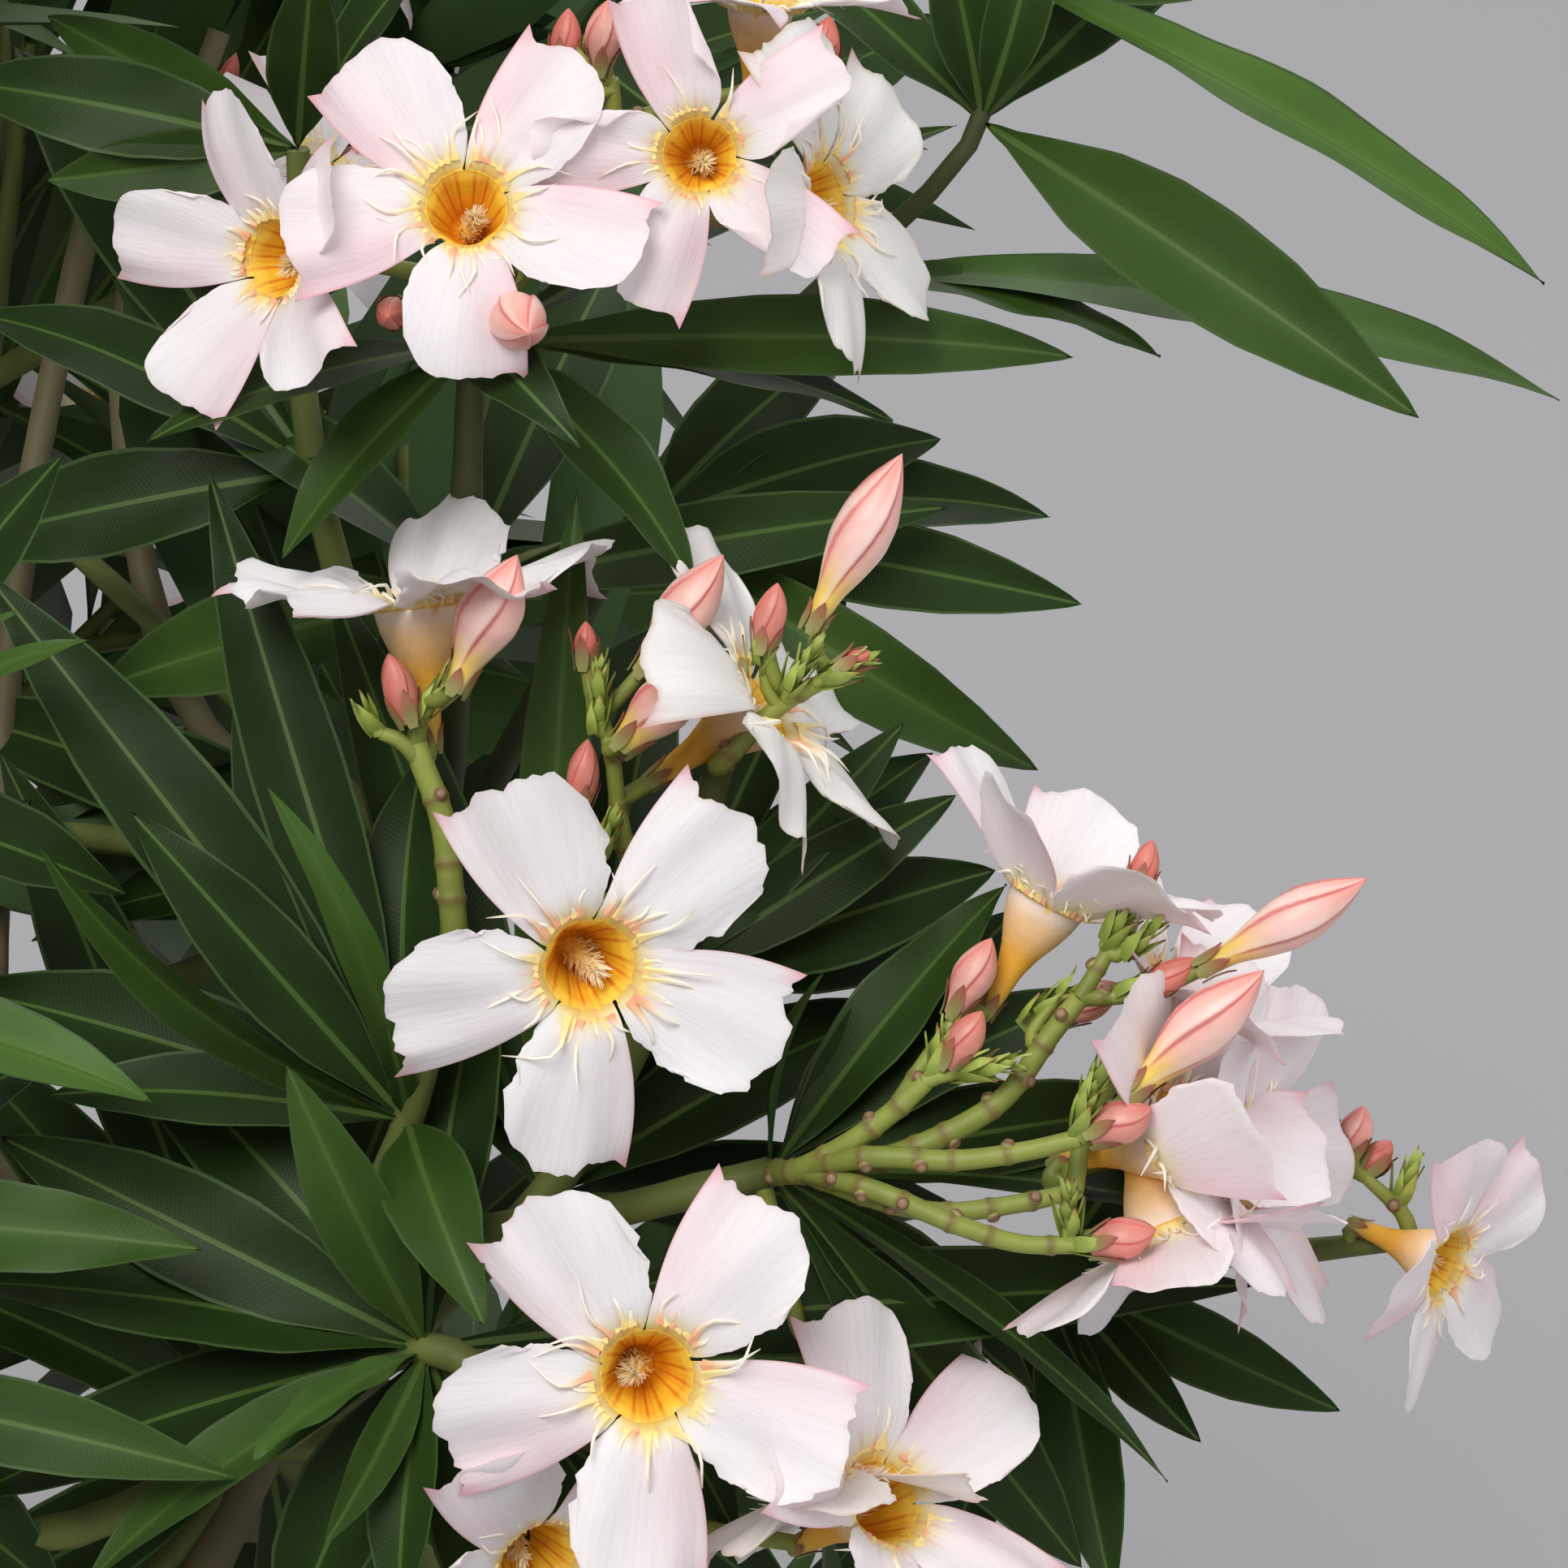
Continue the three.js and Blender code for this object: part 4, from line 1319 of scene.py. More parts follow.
# Kinds of face in a bloom: 0 petal, 1 its pink margin, 2 the cream at its base, 3 throat, 4 tube, 5 fringe
# and 6 sepal.
def bloomForm(detail, looks, seed):
    random = seeded(seed)
    heap = newHeap()
    near = detail is fineBloom
    tint = petalTints
    rim, height = petalForm["rimRadius"], petalForm["rimHeight"]
    for k in range(5):
        own = {**looks, "open": looks["open"] + looks["opens"][k] + random(-5, 5)}
        own["curl"] = looks["curl"] + looks["curls"][k] + random(-5, 5)
        own["blush"] = looks["blush"] * random(0.7, 1.3)
        if near:
            t = np.linspace(0, 1, detail["rows"]) ** 0.92
            v = np.sin(np.linspace(-1, 1, detail["columns"]) * math.pi / 2 * 0.93)
            v = v / math.sin(math.pi / 2 * 0.93)
        else:
            t = np.array((0, 0.12, 0.38, 0.68, 0.9, 1))
            v = np.array((-1, -0.6, -0.1, 0.45, 0.86, 1))
        front = petalPlaces(t, v, own, random)
        turn = math.radians(72 * k + random(-3, 3))
        front = turnedAbout(front, turn)
        back = front - gridNormals(front) * petalForm["thickness"]
        kinds = 0
        if not near:
            row, column = np.divmod(np.arange((len(t) - 1) * (len(v) - 1)), len(v) - 1)
            kinds = np.where(row == 0, 2, np.where(column == len(v) - 2, 1, 0))
        lie = np.stack(np.broadcast_arrays(v[None, :] * 10, t[:, None] * 1.6, 7.0 * k + seed), axis=-1)
        colours = [petalColours(t, v, own, outside) for outside in (False, True)]
        addLens(heap, front, back, kinds, *colours, lie)
    # the tube, and the throat inside it from the rim down
    profile = ((0, 1.4), (3, 1.6), (8, 2.1), (11.5, 3.2), (14.5, 4.6), (17.5, 5.7), (20, rim + 0.05))
    profile = np.array(profile)
    angles, ring = ringOf(detail["throatSides"])
    depth = np.linspace(0, 1, detail["throatRows"])
    down = height - 11 * depth
    radii = np.interp(down, profile[:, 0], profile[:, 1]) - 0.35 * ease(0, 0.12, depth)
    radii = radii * (0.1 + 0.9 * ease(1, 0.86, depth))
    drawn = ease(0, 0.2, depth) * ease(0.9, 0.4, depth)
    lobed = 1 - 0.05 * (1 - np.cos(5 * angles))[:, None] * drawn[:, None, None]
    inner = ring[None] * lobed * radii[:, None, None] + np.array([0, 0, 1]) * down[:, None, None]
    lines = stripeAt((np.degrees(angles) + 36) % 72 - 36)
    stripes = lines[None, :] * (0.45 + 0.55 * ease(0.02, 0.25, depth) * ease(1, 0.75, depth))[:, None]
    deeper = ease(0.3, 0.9, depth)[:, None, None] + 0 * stripes[..., None]
    colour = mixed(tint["gold"], tint["deepGold"], deeper)
    colour = mixed(colour, tint["rim"], (ease(0.3, 0, depth) * 0.9)[:, None, None])
    colour = mixed(colour, tint["stripe"], np.clip(stripes[..., None] * 0.85, 0, 1))
    addTo(heap, inner, gridFaces(len(depth), len(angles), wrap=True), 3, colour)
    sides = detail["tubeSides"]
    _, ring = ringOf(sides)
    if near:
        heights = np.linspace(0, 20, 15)
        profile = np.column_stack([heights, np.interp(heights, profile[:, 0], profile[:, 1])])
    else:
        profile = profile[[0, 2, 4, 6]]
    outer = ring[None] * profile[:, 1][:, None, None] + np.array([0, 0, 1]) * profile[:, 0][:, None, None]
    share = profile[:, 0] / 20
    colour = mixed((0.6, 0.5, 0.12), (0.88, 0.44, 0.05), ease(0, 0.3, share)[:, None])
    colour = mixed(colour, (0.93, 0.6, 0.3), ease(0.5, 0.8, share)[:, None])
    colour = mixed(colour, (0.93, 0.78, 0.68), ease(0.8, 1, share)[:, None])
    addTo(heap, outer, gridFaces(len(profile), sides, wrap=True), 4, np.repeat(colour, sides, axis=0))
    addFringe(heap, detail, looks, random)
    addCone(heap, detail, random)
    for k in range(5):
        addSepal(heap, k, random, near)
    return joined(heap)


# The fringe: a scale at each petal's foot that splits into slender fingers.
def addFringe(heap, detail, looks, random):
    near = detail is fineBloom
    tint = petalTints
    rim, height = petalForm["rimRadius"], petalForm["rimHeight"]
    lean = 1 if looks["open"] > 60 else 0.55
    for k in range(5):
        turn = math.radians(72 * k)
        v = np.linspace(-0.98, 0.98, 27 if near else 3)
        rows = np.linspace(0, 1, 5 if near else 2)
        jagged = 0.7 * np.sin(4.1 * v + random(0, 6)) + 0.45 * np.sin(9.5 * v + random(0, 6))
        out = rim - 0.12 + rows[:, None] * (2.5 - 0.8 * v**2 + (jagged if near else 0))[None, :] * lean
        sideways = np.radians(34) * v[None, :] * (1 - 0.12 * rows[:, None])
        rise = height - 0.05 + rows[:, None] * 1.3 + 0.3 * np.cos(v * 11)[None, :] * rows[:, None]
        scale = np.stack([out * np.cos(sideways), out * np.sin(sideways), rise + 0 * sideways], axis=-1)
        scale = turnedAbout(scale, turn)
        under = scale - np.array([0, 0, 0.22])
        streak = stripeAt(np.degrees(sideways)) * ease(0.85, 0.1, rows)[:, None] * 0.45
        paler = 0.7 * ease(0.3, 1, rows)[:, None, None] + 0 * streak[..., None]
        colour = mixed(tint["rim"], tint["cream"], paler)
        colour = mixed(colour, tint["filament"], 0.5 * ease(0.8, 1, rows)[:, None, None])
        colour = mixed(colour, tint["stripe"], np.clip(streak, 0, 1)[..., None])
        addLens(heap, scale, under, 5, colour)
        for n in range(detail["fingers"]):
            place = -0.85 + 1.7 * (n + 0.5) / detail["fingers"] + random(-0.08, 0.08)
            side = math.radians(31) * place
            reach = random(5.5, 9.8) if random(0, 1) < 0.5 else random(2.0, 4.8)
            curl = random(-0.38, 0.38) * reach
            way = side * 1.5 + random(-0.32, 0.32)
            start = rim + 1.5 * lean
            first = np.array([start * math.cos(side), start * math.sin(side), height + 0.9])
            way = np.array([math.cos(way), math.sin(way), 0.0])
            level = np.array([-way[1], way[0], 0.0])
            middle = first + way * reach * 0.5 * lean + upward * reach * random(0.22, 0.4)
            middle = middle - level * curl * 0.3
            last = first + way * reach * lean + upward * random(0.0, 0.5) * reach + level * curl
            points = [turnedAbout(p, turn) for p in (first, middle, last)]
            if near:
                radii = np.array((0.95, 0.55, 0.36, 0.28, 0.22, 0.16, 0.06))
                shares = np.linspace(0, 1, 7)[:, None]
                base = mixed(tint["rim"], tint["cream"], 0.6)
                tints = mixed(base, tint["filament"], ease(0, 0.55, shares))
                if random(0, 1) < 0.3:
                    tints = mixed(tints, tint["streak"], ease(0.5, 0, shares) * 0.6)
                if random(0, 1) < 0.25:
                    tints = mixed(tints, tint["tan"], ease(0.75, 1, shares) * 0.7)
                addTube(heap, pathThrough(points, 16), radii, 5, 7, 5, tints)
            else:
                addTube(heap, pathThrough(points, 6), np.array((0.5, 0.35, 0.12)), 3, 3, 5)


def addCone(heap, detail, random):
    tint = petalTints
    height = petalForm["rimHeight"]
    lean = np.array([random(-1.8, 1.8), random(-1.8, 1.8), 0])
    foot, top = np.array([0, 0, height - 11.2]), np.array([0, 0, height - 1.6]) + lean
    if detail["hairs"] == 0:
        addTube(heap, pathThrough([foot, top], 4), np.array((1.5, 1.3, 0.4)), 5, 3, 2)
        return
    path = pathThrough([foot, (foot + top) / 2 + lean * 0.15, top], 16)
    shares = np.linspace(0, 1, 9)[:, None]
    tints = mixed(tint["gold"], tint["plume"], ease(0.1, 0.7, shares))
    addTube(heap, path, np.array((1.9, 1.8, 1.6, 1.35, 1.15, 0.95, 0.75, 0.5, 0.12)), 12, 9, 5, tints)
    for _ in range(detail["hairs"]):
        turn, start = random(0, 360), random(0.05, 1)
        at = pointAt(path, start) + polar(1.5 * (1.1 - start), turn, 0)
        end = at + polar(random(0.5, 1.7), turn + random(-60, 60), random(1.2, 3.4)) + lean * 0.4
        tints = mixed(tint["rim"], tint["filament"], (np.linspace(0.1, 0.5, 3) + 0.4 * start)[:, None])
        hair = pathThrough([at, (at + end) / 2 + upward * 0.2, end], 4)
        addTube(heap, hair, np.array((0.22, 0.16, 0.05)), 3, 3, 5, tints)


# body is what the sepal clasps: its heights and its radii, where it is fuller than a bloom's tube.
def addSepal(heap, k, random, near, body=None):
    tint = petalTints
    turn = math.radians(72 * k + 36 + random(-6, 6))
    long = random(4.0, 5.6)
    t = np.linspace(0, 1, 6 if near else 3)
    v = np.array((-1, 0, 1))
    half = 0.95 * np.sin(np.pi * (0.18 + 0.82 * t)) ** 0.8
    out = 1.35 + 0.25 * t * long / 4 + 0.5 * t**3
    if body:
        out = np.maximum(out, 1.06 * np.interp(t * long - 0.6, *body) + 0.12)
    places = np.stack(
        [
            out[:, None] + 0.2 * (1 - v[None, :] ** 2),
            half[:, None] * v[None, :],
            -0.6 + (t * long)[:, None] + 0 * v[None, :],
        ],
        axis=-1,
    )
    places = turnedAbout(places, turn)
    inner = places * np.array([0.86, 0.86, 1])
    colour = np.repeat(mixed(tint["sepal"], tint["sepalTip"], ease(0.1, 0.9, t)[:, None]), 3, axis=0)
    addLens(heap, places, inner, 6, colour)


# A bud: a spindle wound in a spiral, on a narrow tube, with its calyx.
budTints = {
    "foot": (0.42, 0.42, 0.06),
    "tube": (0.88, 0.62, 0.12),
    "body": (0.92, 0.56, 0.49),
    "tip": (0.84, 0.27, 0.22),
    "seam": (0.66, 0.1, 0.1),
    "small": (0.62, 0.17, 0.12),
}


def budForm(long, wide, rows, columns, ripeness, seed, near=True):
    # ripeness 1 is a big pale bud about to open, and 0 a small red one
    random = seeded(seed)
    tint = budTints
    heap = newHeap()
    t = np.linspace(0, 1, rows)
    at = (0, 0.1, 0.2, 0.34, 0.5, 0.66, 0.82, 0.93, 1)
    ripe = (0.36, 0.36, 0.44, 0.72, 0.98, 0.95, 0.62, 0.27, 0)
    green = (0.62, 0.75, 0.88, 0.99, 1.0, 0.87, 0.6, 0.3, 0)
    radius = wide / 2 * (np.interp(t, at, ripe) * ripeness + np.interp(t, at, green) * (1 - ripeness))
    if near:
        kernel = np.array((0.25, 0.5, 0.25))
        radius[1:-1] = np.convolve(radius, kernel, mode="same")[1:-1]
    angles, ring = ringOf(columns)
    turns = 5 if near else 3
    wind = (angles[None, :] * turns - t[:, None] * 5.6 + random(0, 6)) % (2 * math.pi) / (2 * math.pi)
    grow = 1 + 0.11 * (wind - 0.5) * ease(0.15, 0.4, t)[:, None] * (1 if near else 0)
    places = ring[None] * (radius[:, None] * grow)[..., None] + upward * (t * long)[:, None, None]
    seam = (ease(0.12, 0.0, wind) + ease(0.9, 1, wind)) * ease(0.12, 0.32, t)[:, None]
    # painted shade: a redder band on the tucked side of each seam, under the petal that overlaps it
    paintedSeamShade = 0.28 * ease(0.4, 0.05, wind) * ease(0.12, 0.32, t)[:, None]
    shade = t[:, None, None] + 0 * wind[..., None]
    body = mixed(tint["small"], tint["body"], ripeness)
    colour = body + 0 * shade
    if ripeness > 0.5:
        colour = mixed(tint["foot"], tint["tube"], ease(0.0, 0.16, shade))
    colour = mixed(colour, body, ease(0.16, 0.46, shade))
    colour = mixed(colour, mixed(tint["small"], tint["tip"], ripeness), ease(0.6, 1, shade) * 0.75)
    # painted highlight: a pale band along the crest of each lobe of the spiral, on ripe buds
    paintedHighlight = (ease(0.5, 0.8, wind) * ease(1, 0.85, wind))[..., None] * 0.35 * ripeness
    colour = mixed(colour, (0.95, 0.82, 0.76), paintedHighlight)
    colour = mixed(colour, tint["tip"], paintedSeamShade[..., None])
    colour = mixed(colour, tint["seam"], np.clip(seam, 0, 1)[..., None] * 0.8)
    addTo(heap, places, gridFaces(rows, columns, wrap=True), 0, colour.reshape(-1, 3))
    for k in range(5):
        addSepal(heap, k, random, near, (t * long, radius))
    heap["kinds"] = [np.where(np.asarray(k) == 6, 1, 0) for k in heap["kinds"]]
    return joined(heap)


# Small pointed bracts pressed round a shoot's end, as on a growing spear.
def bractsForm(count, long, seed):
    random = seeded(seed)
    heap = newHeap()
    for n in range(count):
        share = n / max(1, count - 1)
        size = (5.2 - 2.2 * share) * random(0.8, 1.2)
        spread = random(-0.3, 1.1)
        t = np.linspace(0, 1, 5)
        v = np.array((-1, 0, 1))
        half = 0.2 * size * np.sin(np.pi * (0.36 + 0.64 * t)) ** 1.1
        out = 0.75 * (1.2 - share) + (0.85 * np.sin(t * 1.7) + spread * t**2) * (1 - 0.4 * share)
        outwards = out[:, None] + 0.25 * (1 - v[None] ** 2)
        rise = (t * size)[:, None] + 0 * v[None]
        places = np.stack([outwards, half[:, None] * v[None], rise], axis=-1)
        places = turnedAbout(places, math.radians(137.5 * n + random(-12, 12))) + upward * share * long
        inner = places - turnedAbout(np.array([0.26, 0, -0.05]), math.radians(137.5 * n))
        tipTone = (0.34, 0.1, 0.05) if random(0, 1) < 0.4 else (0.42, 0.46, 0.16)
        colour = mixed((0.2, 0.27, 0.04), (0.4, 0.5, 0.1), ease(0, 0.6, t)[:, None])
        colour = np.repeat(mixed(colour, tipTone, ease(0.65, 1, t)[:, None]), 3, axis=0)
        addLens(heap, places, inner, 0, colour)
    return joined(heap)


# Axes for a copy that faces along axis, turned about it by roll from level.
def axesFrom(axis, level, roll):
    angle = math.radians(roll)
    first = level * math.cos(angle) + np.cross(axis, level) * math.sin(angle)
    return np.column_stack([first, np.cross(axis, first), axis])


def turnTo(axis, roll):
    axis = unit(axis)
    return axesFrom(axis, squareTo(axis)[0], roll)


print("flower forms ready")

# The crown's flower heads: open blooms round the one that ends each flowering twig, with buds and bracts.
head = {
    "size": 0.84,
    "sunk": 2,
    "blooms": (3, 5.99),
    "bloomTilt": (48, 82),
    "stalk": (20, 30),
    "buds": (7, 12),
    "budTilt": (8, 52),
    "bracts": 4,
    "tries": 3,
    "boxRoom": 0.5,
    "rootDepth": 22,
    "rimReach": 23,
    "budReach": (18, 30),
    "bractReach": (12, 22),
    "bractTilt": (12, 60),
}


# The part of a form that holds some kinds of face, with its loose places left out.
def partOf(form, kinds):
    faces = np.concatenate(form["faces"])
    own = np.concatenate(form["kinds"])
    keep = np.isin(own, kinds)
    used, index = np.unique(faces[keep], return_inverse=True)
    return {
        "places": form["places"][used],
        "faces": [index.reshape(-1, faces.shape[1])],
        "kinds": [own[keep]],
        "tints": form["tints"][used],
        "spots": form["spots"][used],
    }


farLooks = (
    {},
    {"open": 70, "blush": 0.5},
    {"open": 92, "curl": 14},
    {"open": 58, "blush": 0.6, "curl": 0},
    {"open": 80, "curl": 18},
)
farForms = []
for n, changes in enumerate(farLooks):
    form = bloomForm(farBloom, {**usualLooks, **changes}, 600 + n)
    farForms.append((partOf(form, (0, 1, 2)), partOf(form, (3, 4, 5, 6))))
farBudSizes = ((24, 6, 1), (18, 5.4, 0.8), (11, 4.2, 0))
farBuds = [budForm(*sizes[:2], 6, 6, sizes[2], 650 + n, near=False) for n, sizes in enumerate(farBudSizes)]
farBracts = bractsForm(9, 8, 671)

crownKinds = {
    "petal_white": (0.83, 0.76, 0.775),
    "petal_blush": (0.84, 0.6, 0.64),
    "petal_cream": (0.88, 0.66, 0.22),
    "throat_gold": (0.78, 0.36, 0.03),
    "tube_gold": (0.84, 0.52, 0.14),
    "fringe_cream": (0.9, 0.76, 0.5),
    "sepal_green": (0.28, 0.2, 0.08),
}


def petalSkin(name, colour):
    skin = newMaterial(name, colour, 0.55, 0.35)
    shaderOf(skin).inputs["Sheen Weight"].default_value = 0.15
    addBump(skin, noiseOf(skin, objectPlace(skin), 1400, 2), 0.1, 0.0003)
    return skin


crownPetals = [petalSkin(name, colour) for name, colour in crownKinds.items()]
crownBudSkins = [
    petalSkin("bud_salmon", (0.82, 0.36, 0.29)),
    petalSkin("bud_red", (0.55, 0.12, 0.085)),
    petalSkin("bud_peach", (0.87, 0.5, 0.38)),
    petalSkin("bract_green", (0.24, 0.34, 0.09)),
]


def insideBox(points):
    points = points * millimetre
    margin = head["boxRoom"] * millimetre
    return bool(np.all(points > lowCorner + margin) and np.all(points < highCorner - margin))


def addHead(heaps, own, spot, random):
    at, axis = spot["at"], spot["axis"]
    places = [(at - axis * head["sunk"], axis)]
    root = at - axis * head["rootDepth"]
    count = int(random(*head["blooms"]))
    start = random(0, 360)
    for j in range(count):
        for _ in range(head["tries"]):
            facing = tipped(axis, random(*head["bloomTilt"]), start + 360 / count * j + random(-18, 18))
            facing = unit(facing + upward * 0.25)
            foot = root + facing * random(*head["stalk"]) + axis * random(-4, 8)
            face = foot + facing * petalForm["rimHeight"] * head["size"]
            side = np.cross(facing, axis)
            reach, rising = side * head["rimReach"], np.cross(facing, unit(side)) * head["rimReach"]
            rim = np.array([face + reach, face - reach, face + rising, face - rising, face])
            if insideBox(rim) and fits(own, rim, -1, True):
                places.append((foot, facing))
                break
    for foot, facing in places:
        pick = int(random(0, len(farForms) - 0.01))
        turn = turnTo(facing, random(0, 72))
        petals, throat = farForms[pick]
        addCopy(heaps["petals"], petals, turn, foot, head["size"])
        addCopy(heaps["throats"], throat, turn, foot, head["size"])
        addRod(heaps["stalks"], root, foot + facing * 0.5, (1.3, 1.0), 5)
    for j in range(int(random(*head["buds"]))):
        out = tipped(axis, random(*head["budTilt"]), start + 137 * j)
        foot = root + out * random(*head["budReach"])
        pick = int(random(0, 2.99))
        long = farBudSizes[pick][0]
        if not (insideBox(foot + out * long) and fits(own, (foot + out * long)[None], -1, True)):
            continue
        kinds = np.array(((0, 3), (2, 3), (1, 3))[pick])
        turn = turnTo(out, random(0, 360))
        addCopy(heaps["buds"], farBuds[pick], turn, foot, head["size"] * random(0.8, 1.1), kinds)
        addRod(heaps["stalks"], root, foot + out * 0.5, (1.2, 0.9), 5)
    for j in range(head["bracts"]):
        out = tipped(axis, random(*head["bractTilt"]), start + 90 * j + 40)
        foot = root + out * random(*head["bractReach"])
        addRod(heaps["stalks"], root, foot + out * 2, (1.2, 0.8), 5)
        turn = turnTo(out, random(0, 360))
        addCopy(heaps["buds"], farBracts, turn, foot, random(0.9, 1.2), np.array((3, 3)))


headCount = 0
for parent in stems:
    heaps = {key: newHeap() for key in ("petals", "throats", "buds", "stalks")}
    for own, grown in massesOf(parent).items():
        random = seeded(31000 + own)
        for spot in grown["heads"]:
            addHead(heaps, own, spot, random)
            headCount += 1
    label = parent["index"] + 1
    if heaps["petals"]["count"]:
        makePiece(f"petals_of_stem_{label}", heaps["petals"], crownPetals)
        makePiece(f"throats_of_stem_{label}", heaps["throats"], crownPetals)
        makePiece(f"buds_of_stem_{label}", heaps["buds"], crownBudSkins)
        makePiece(f"flower_stalks_of_stem_{label}", heaps["stalks"], [youngShoot])
print("crown flower heads made:", headCount)

# The best side, which the view shows: shoots, leaves, blooms, buds and bracts laid out one by one.
# Places are right, up and away in millimetres on the leaning plane.
forks = {"upper": (-44, -12, 62), "lower": (-66, -84, 44)}
# Shoots: kind of skin, radii at foot and tip, and the run.
shoots = [
    (2, (2.4, 1.8), [forks["upper"], (-41, 25, 38), (-39.5, 56, 14), (-38, 64, 12)]),
    (2, (2.2, 1.2), [forks["upper"], (-8, 50, 66), (25, 84, 56), (27, 104, 58)]),
    (0, (1.9, 1.4), [(-41, 25, 38), (-18, 33, 48)]),
    (0, (2.6, 1.6), [forks["upper"], (-60, 40, 60), (-62, 81, 42)]),
    (0, (2.4, 1.9), [forks["lower"], (-48, -43, 18), (-42, -19, 8)]),
    (0, (2.8, 1.9), [forks["lower"], (-30, -52, 26), (-16, -26, 22), (-8, 3, 12)]),
    (0, (2.8, 2.1), [forks["lower"], (-45, -60, 30), (-20.3, -54.2, 20), (-1.7, -49.5, 17)]),
    (0, (2.8, 1.8), [forks["lower"], (-45, -72, 14), (-34, -78, 12), (-24, -84, 16)]),
    (0, (2.6, 1.5), [forks["lower"], (-98, -96, 34), (-126, -76, 14), (-128, -45, 12), (-124, 0, 14)]),
    (0, (2.6, 1.5), [forks["lower"], (0, -80, 64), (34, -62, 60), (62, -60, 50), (80, -58, 42)]),
    (1, (3.0, 1.9), [forks["lower"], (-98, -50, 80), (-100, 0, 104), (-96, 38, 108), (-86, 84, 104)]),
    (1, (2.6, 1.7), [forks["upper"], (-76, 10, 100), (-84, 60, 112), (-72, 96, 110)]),
]
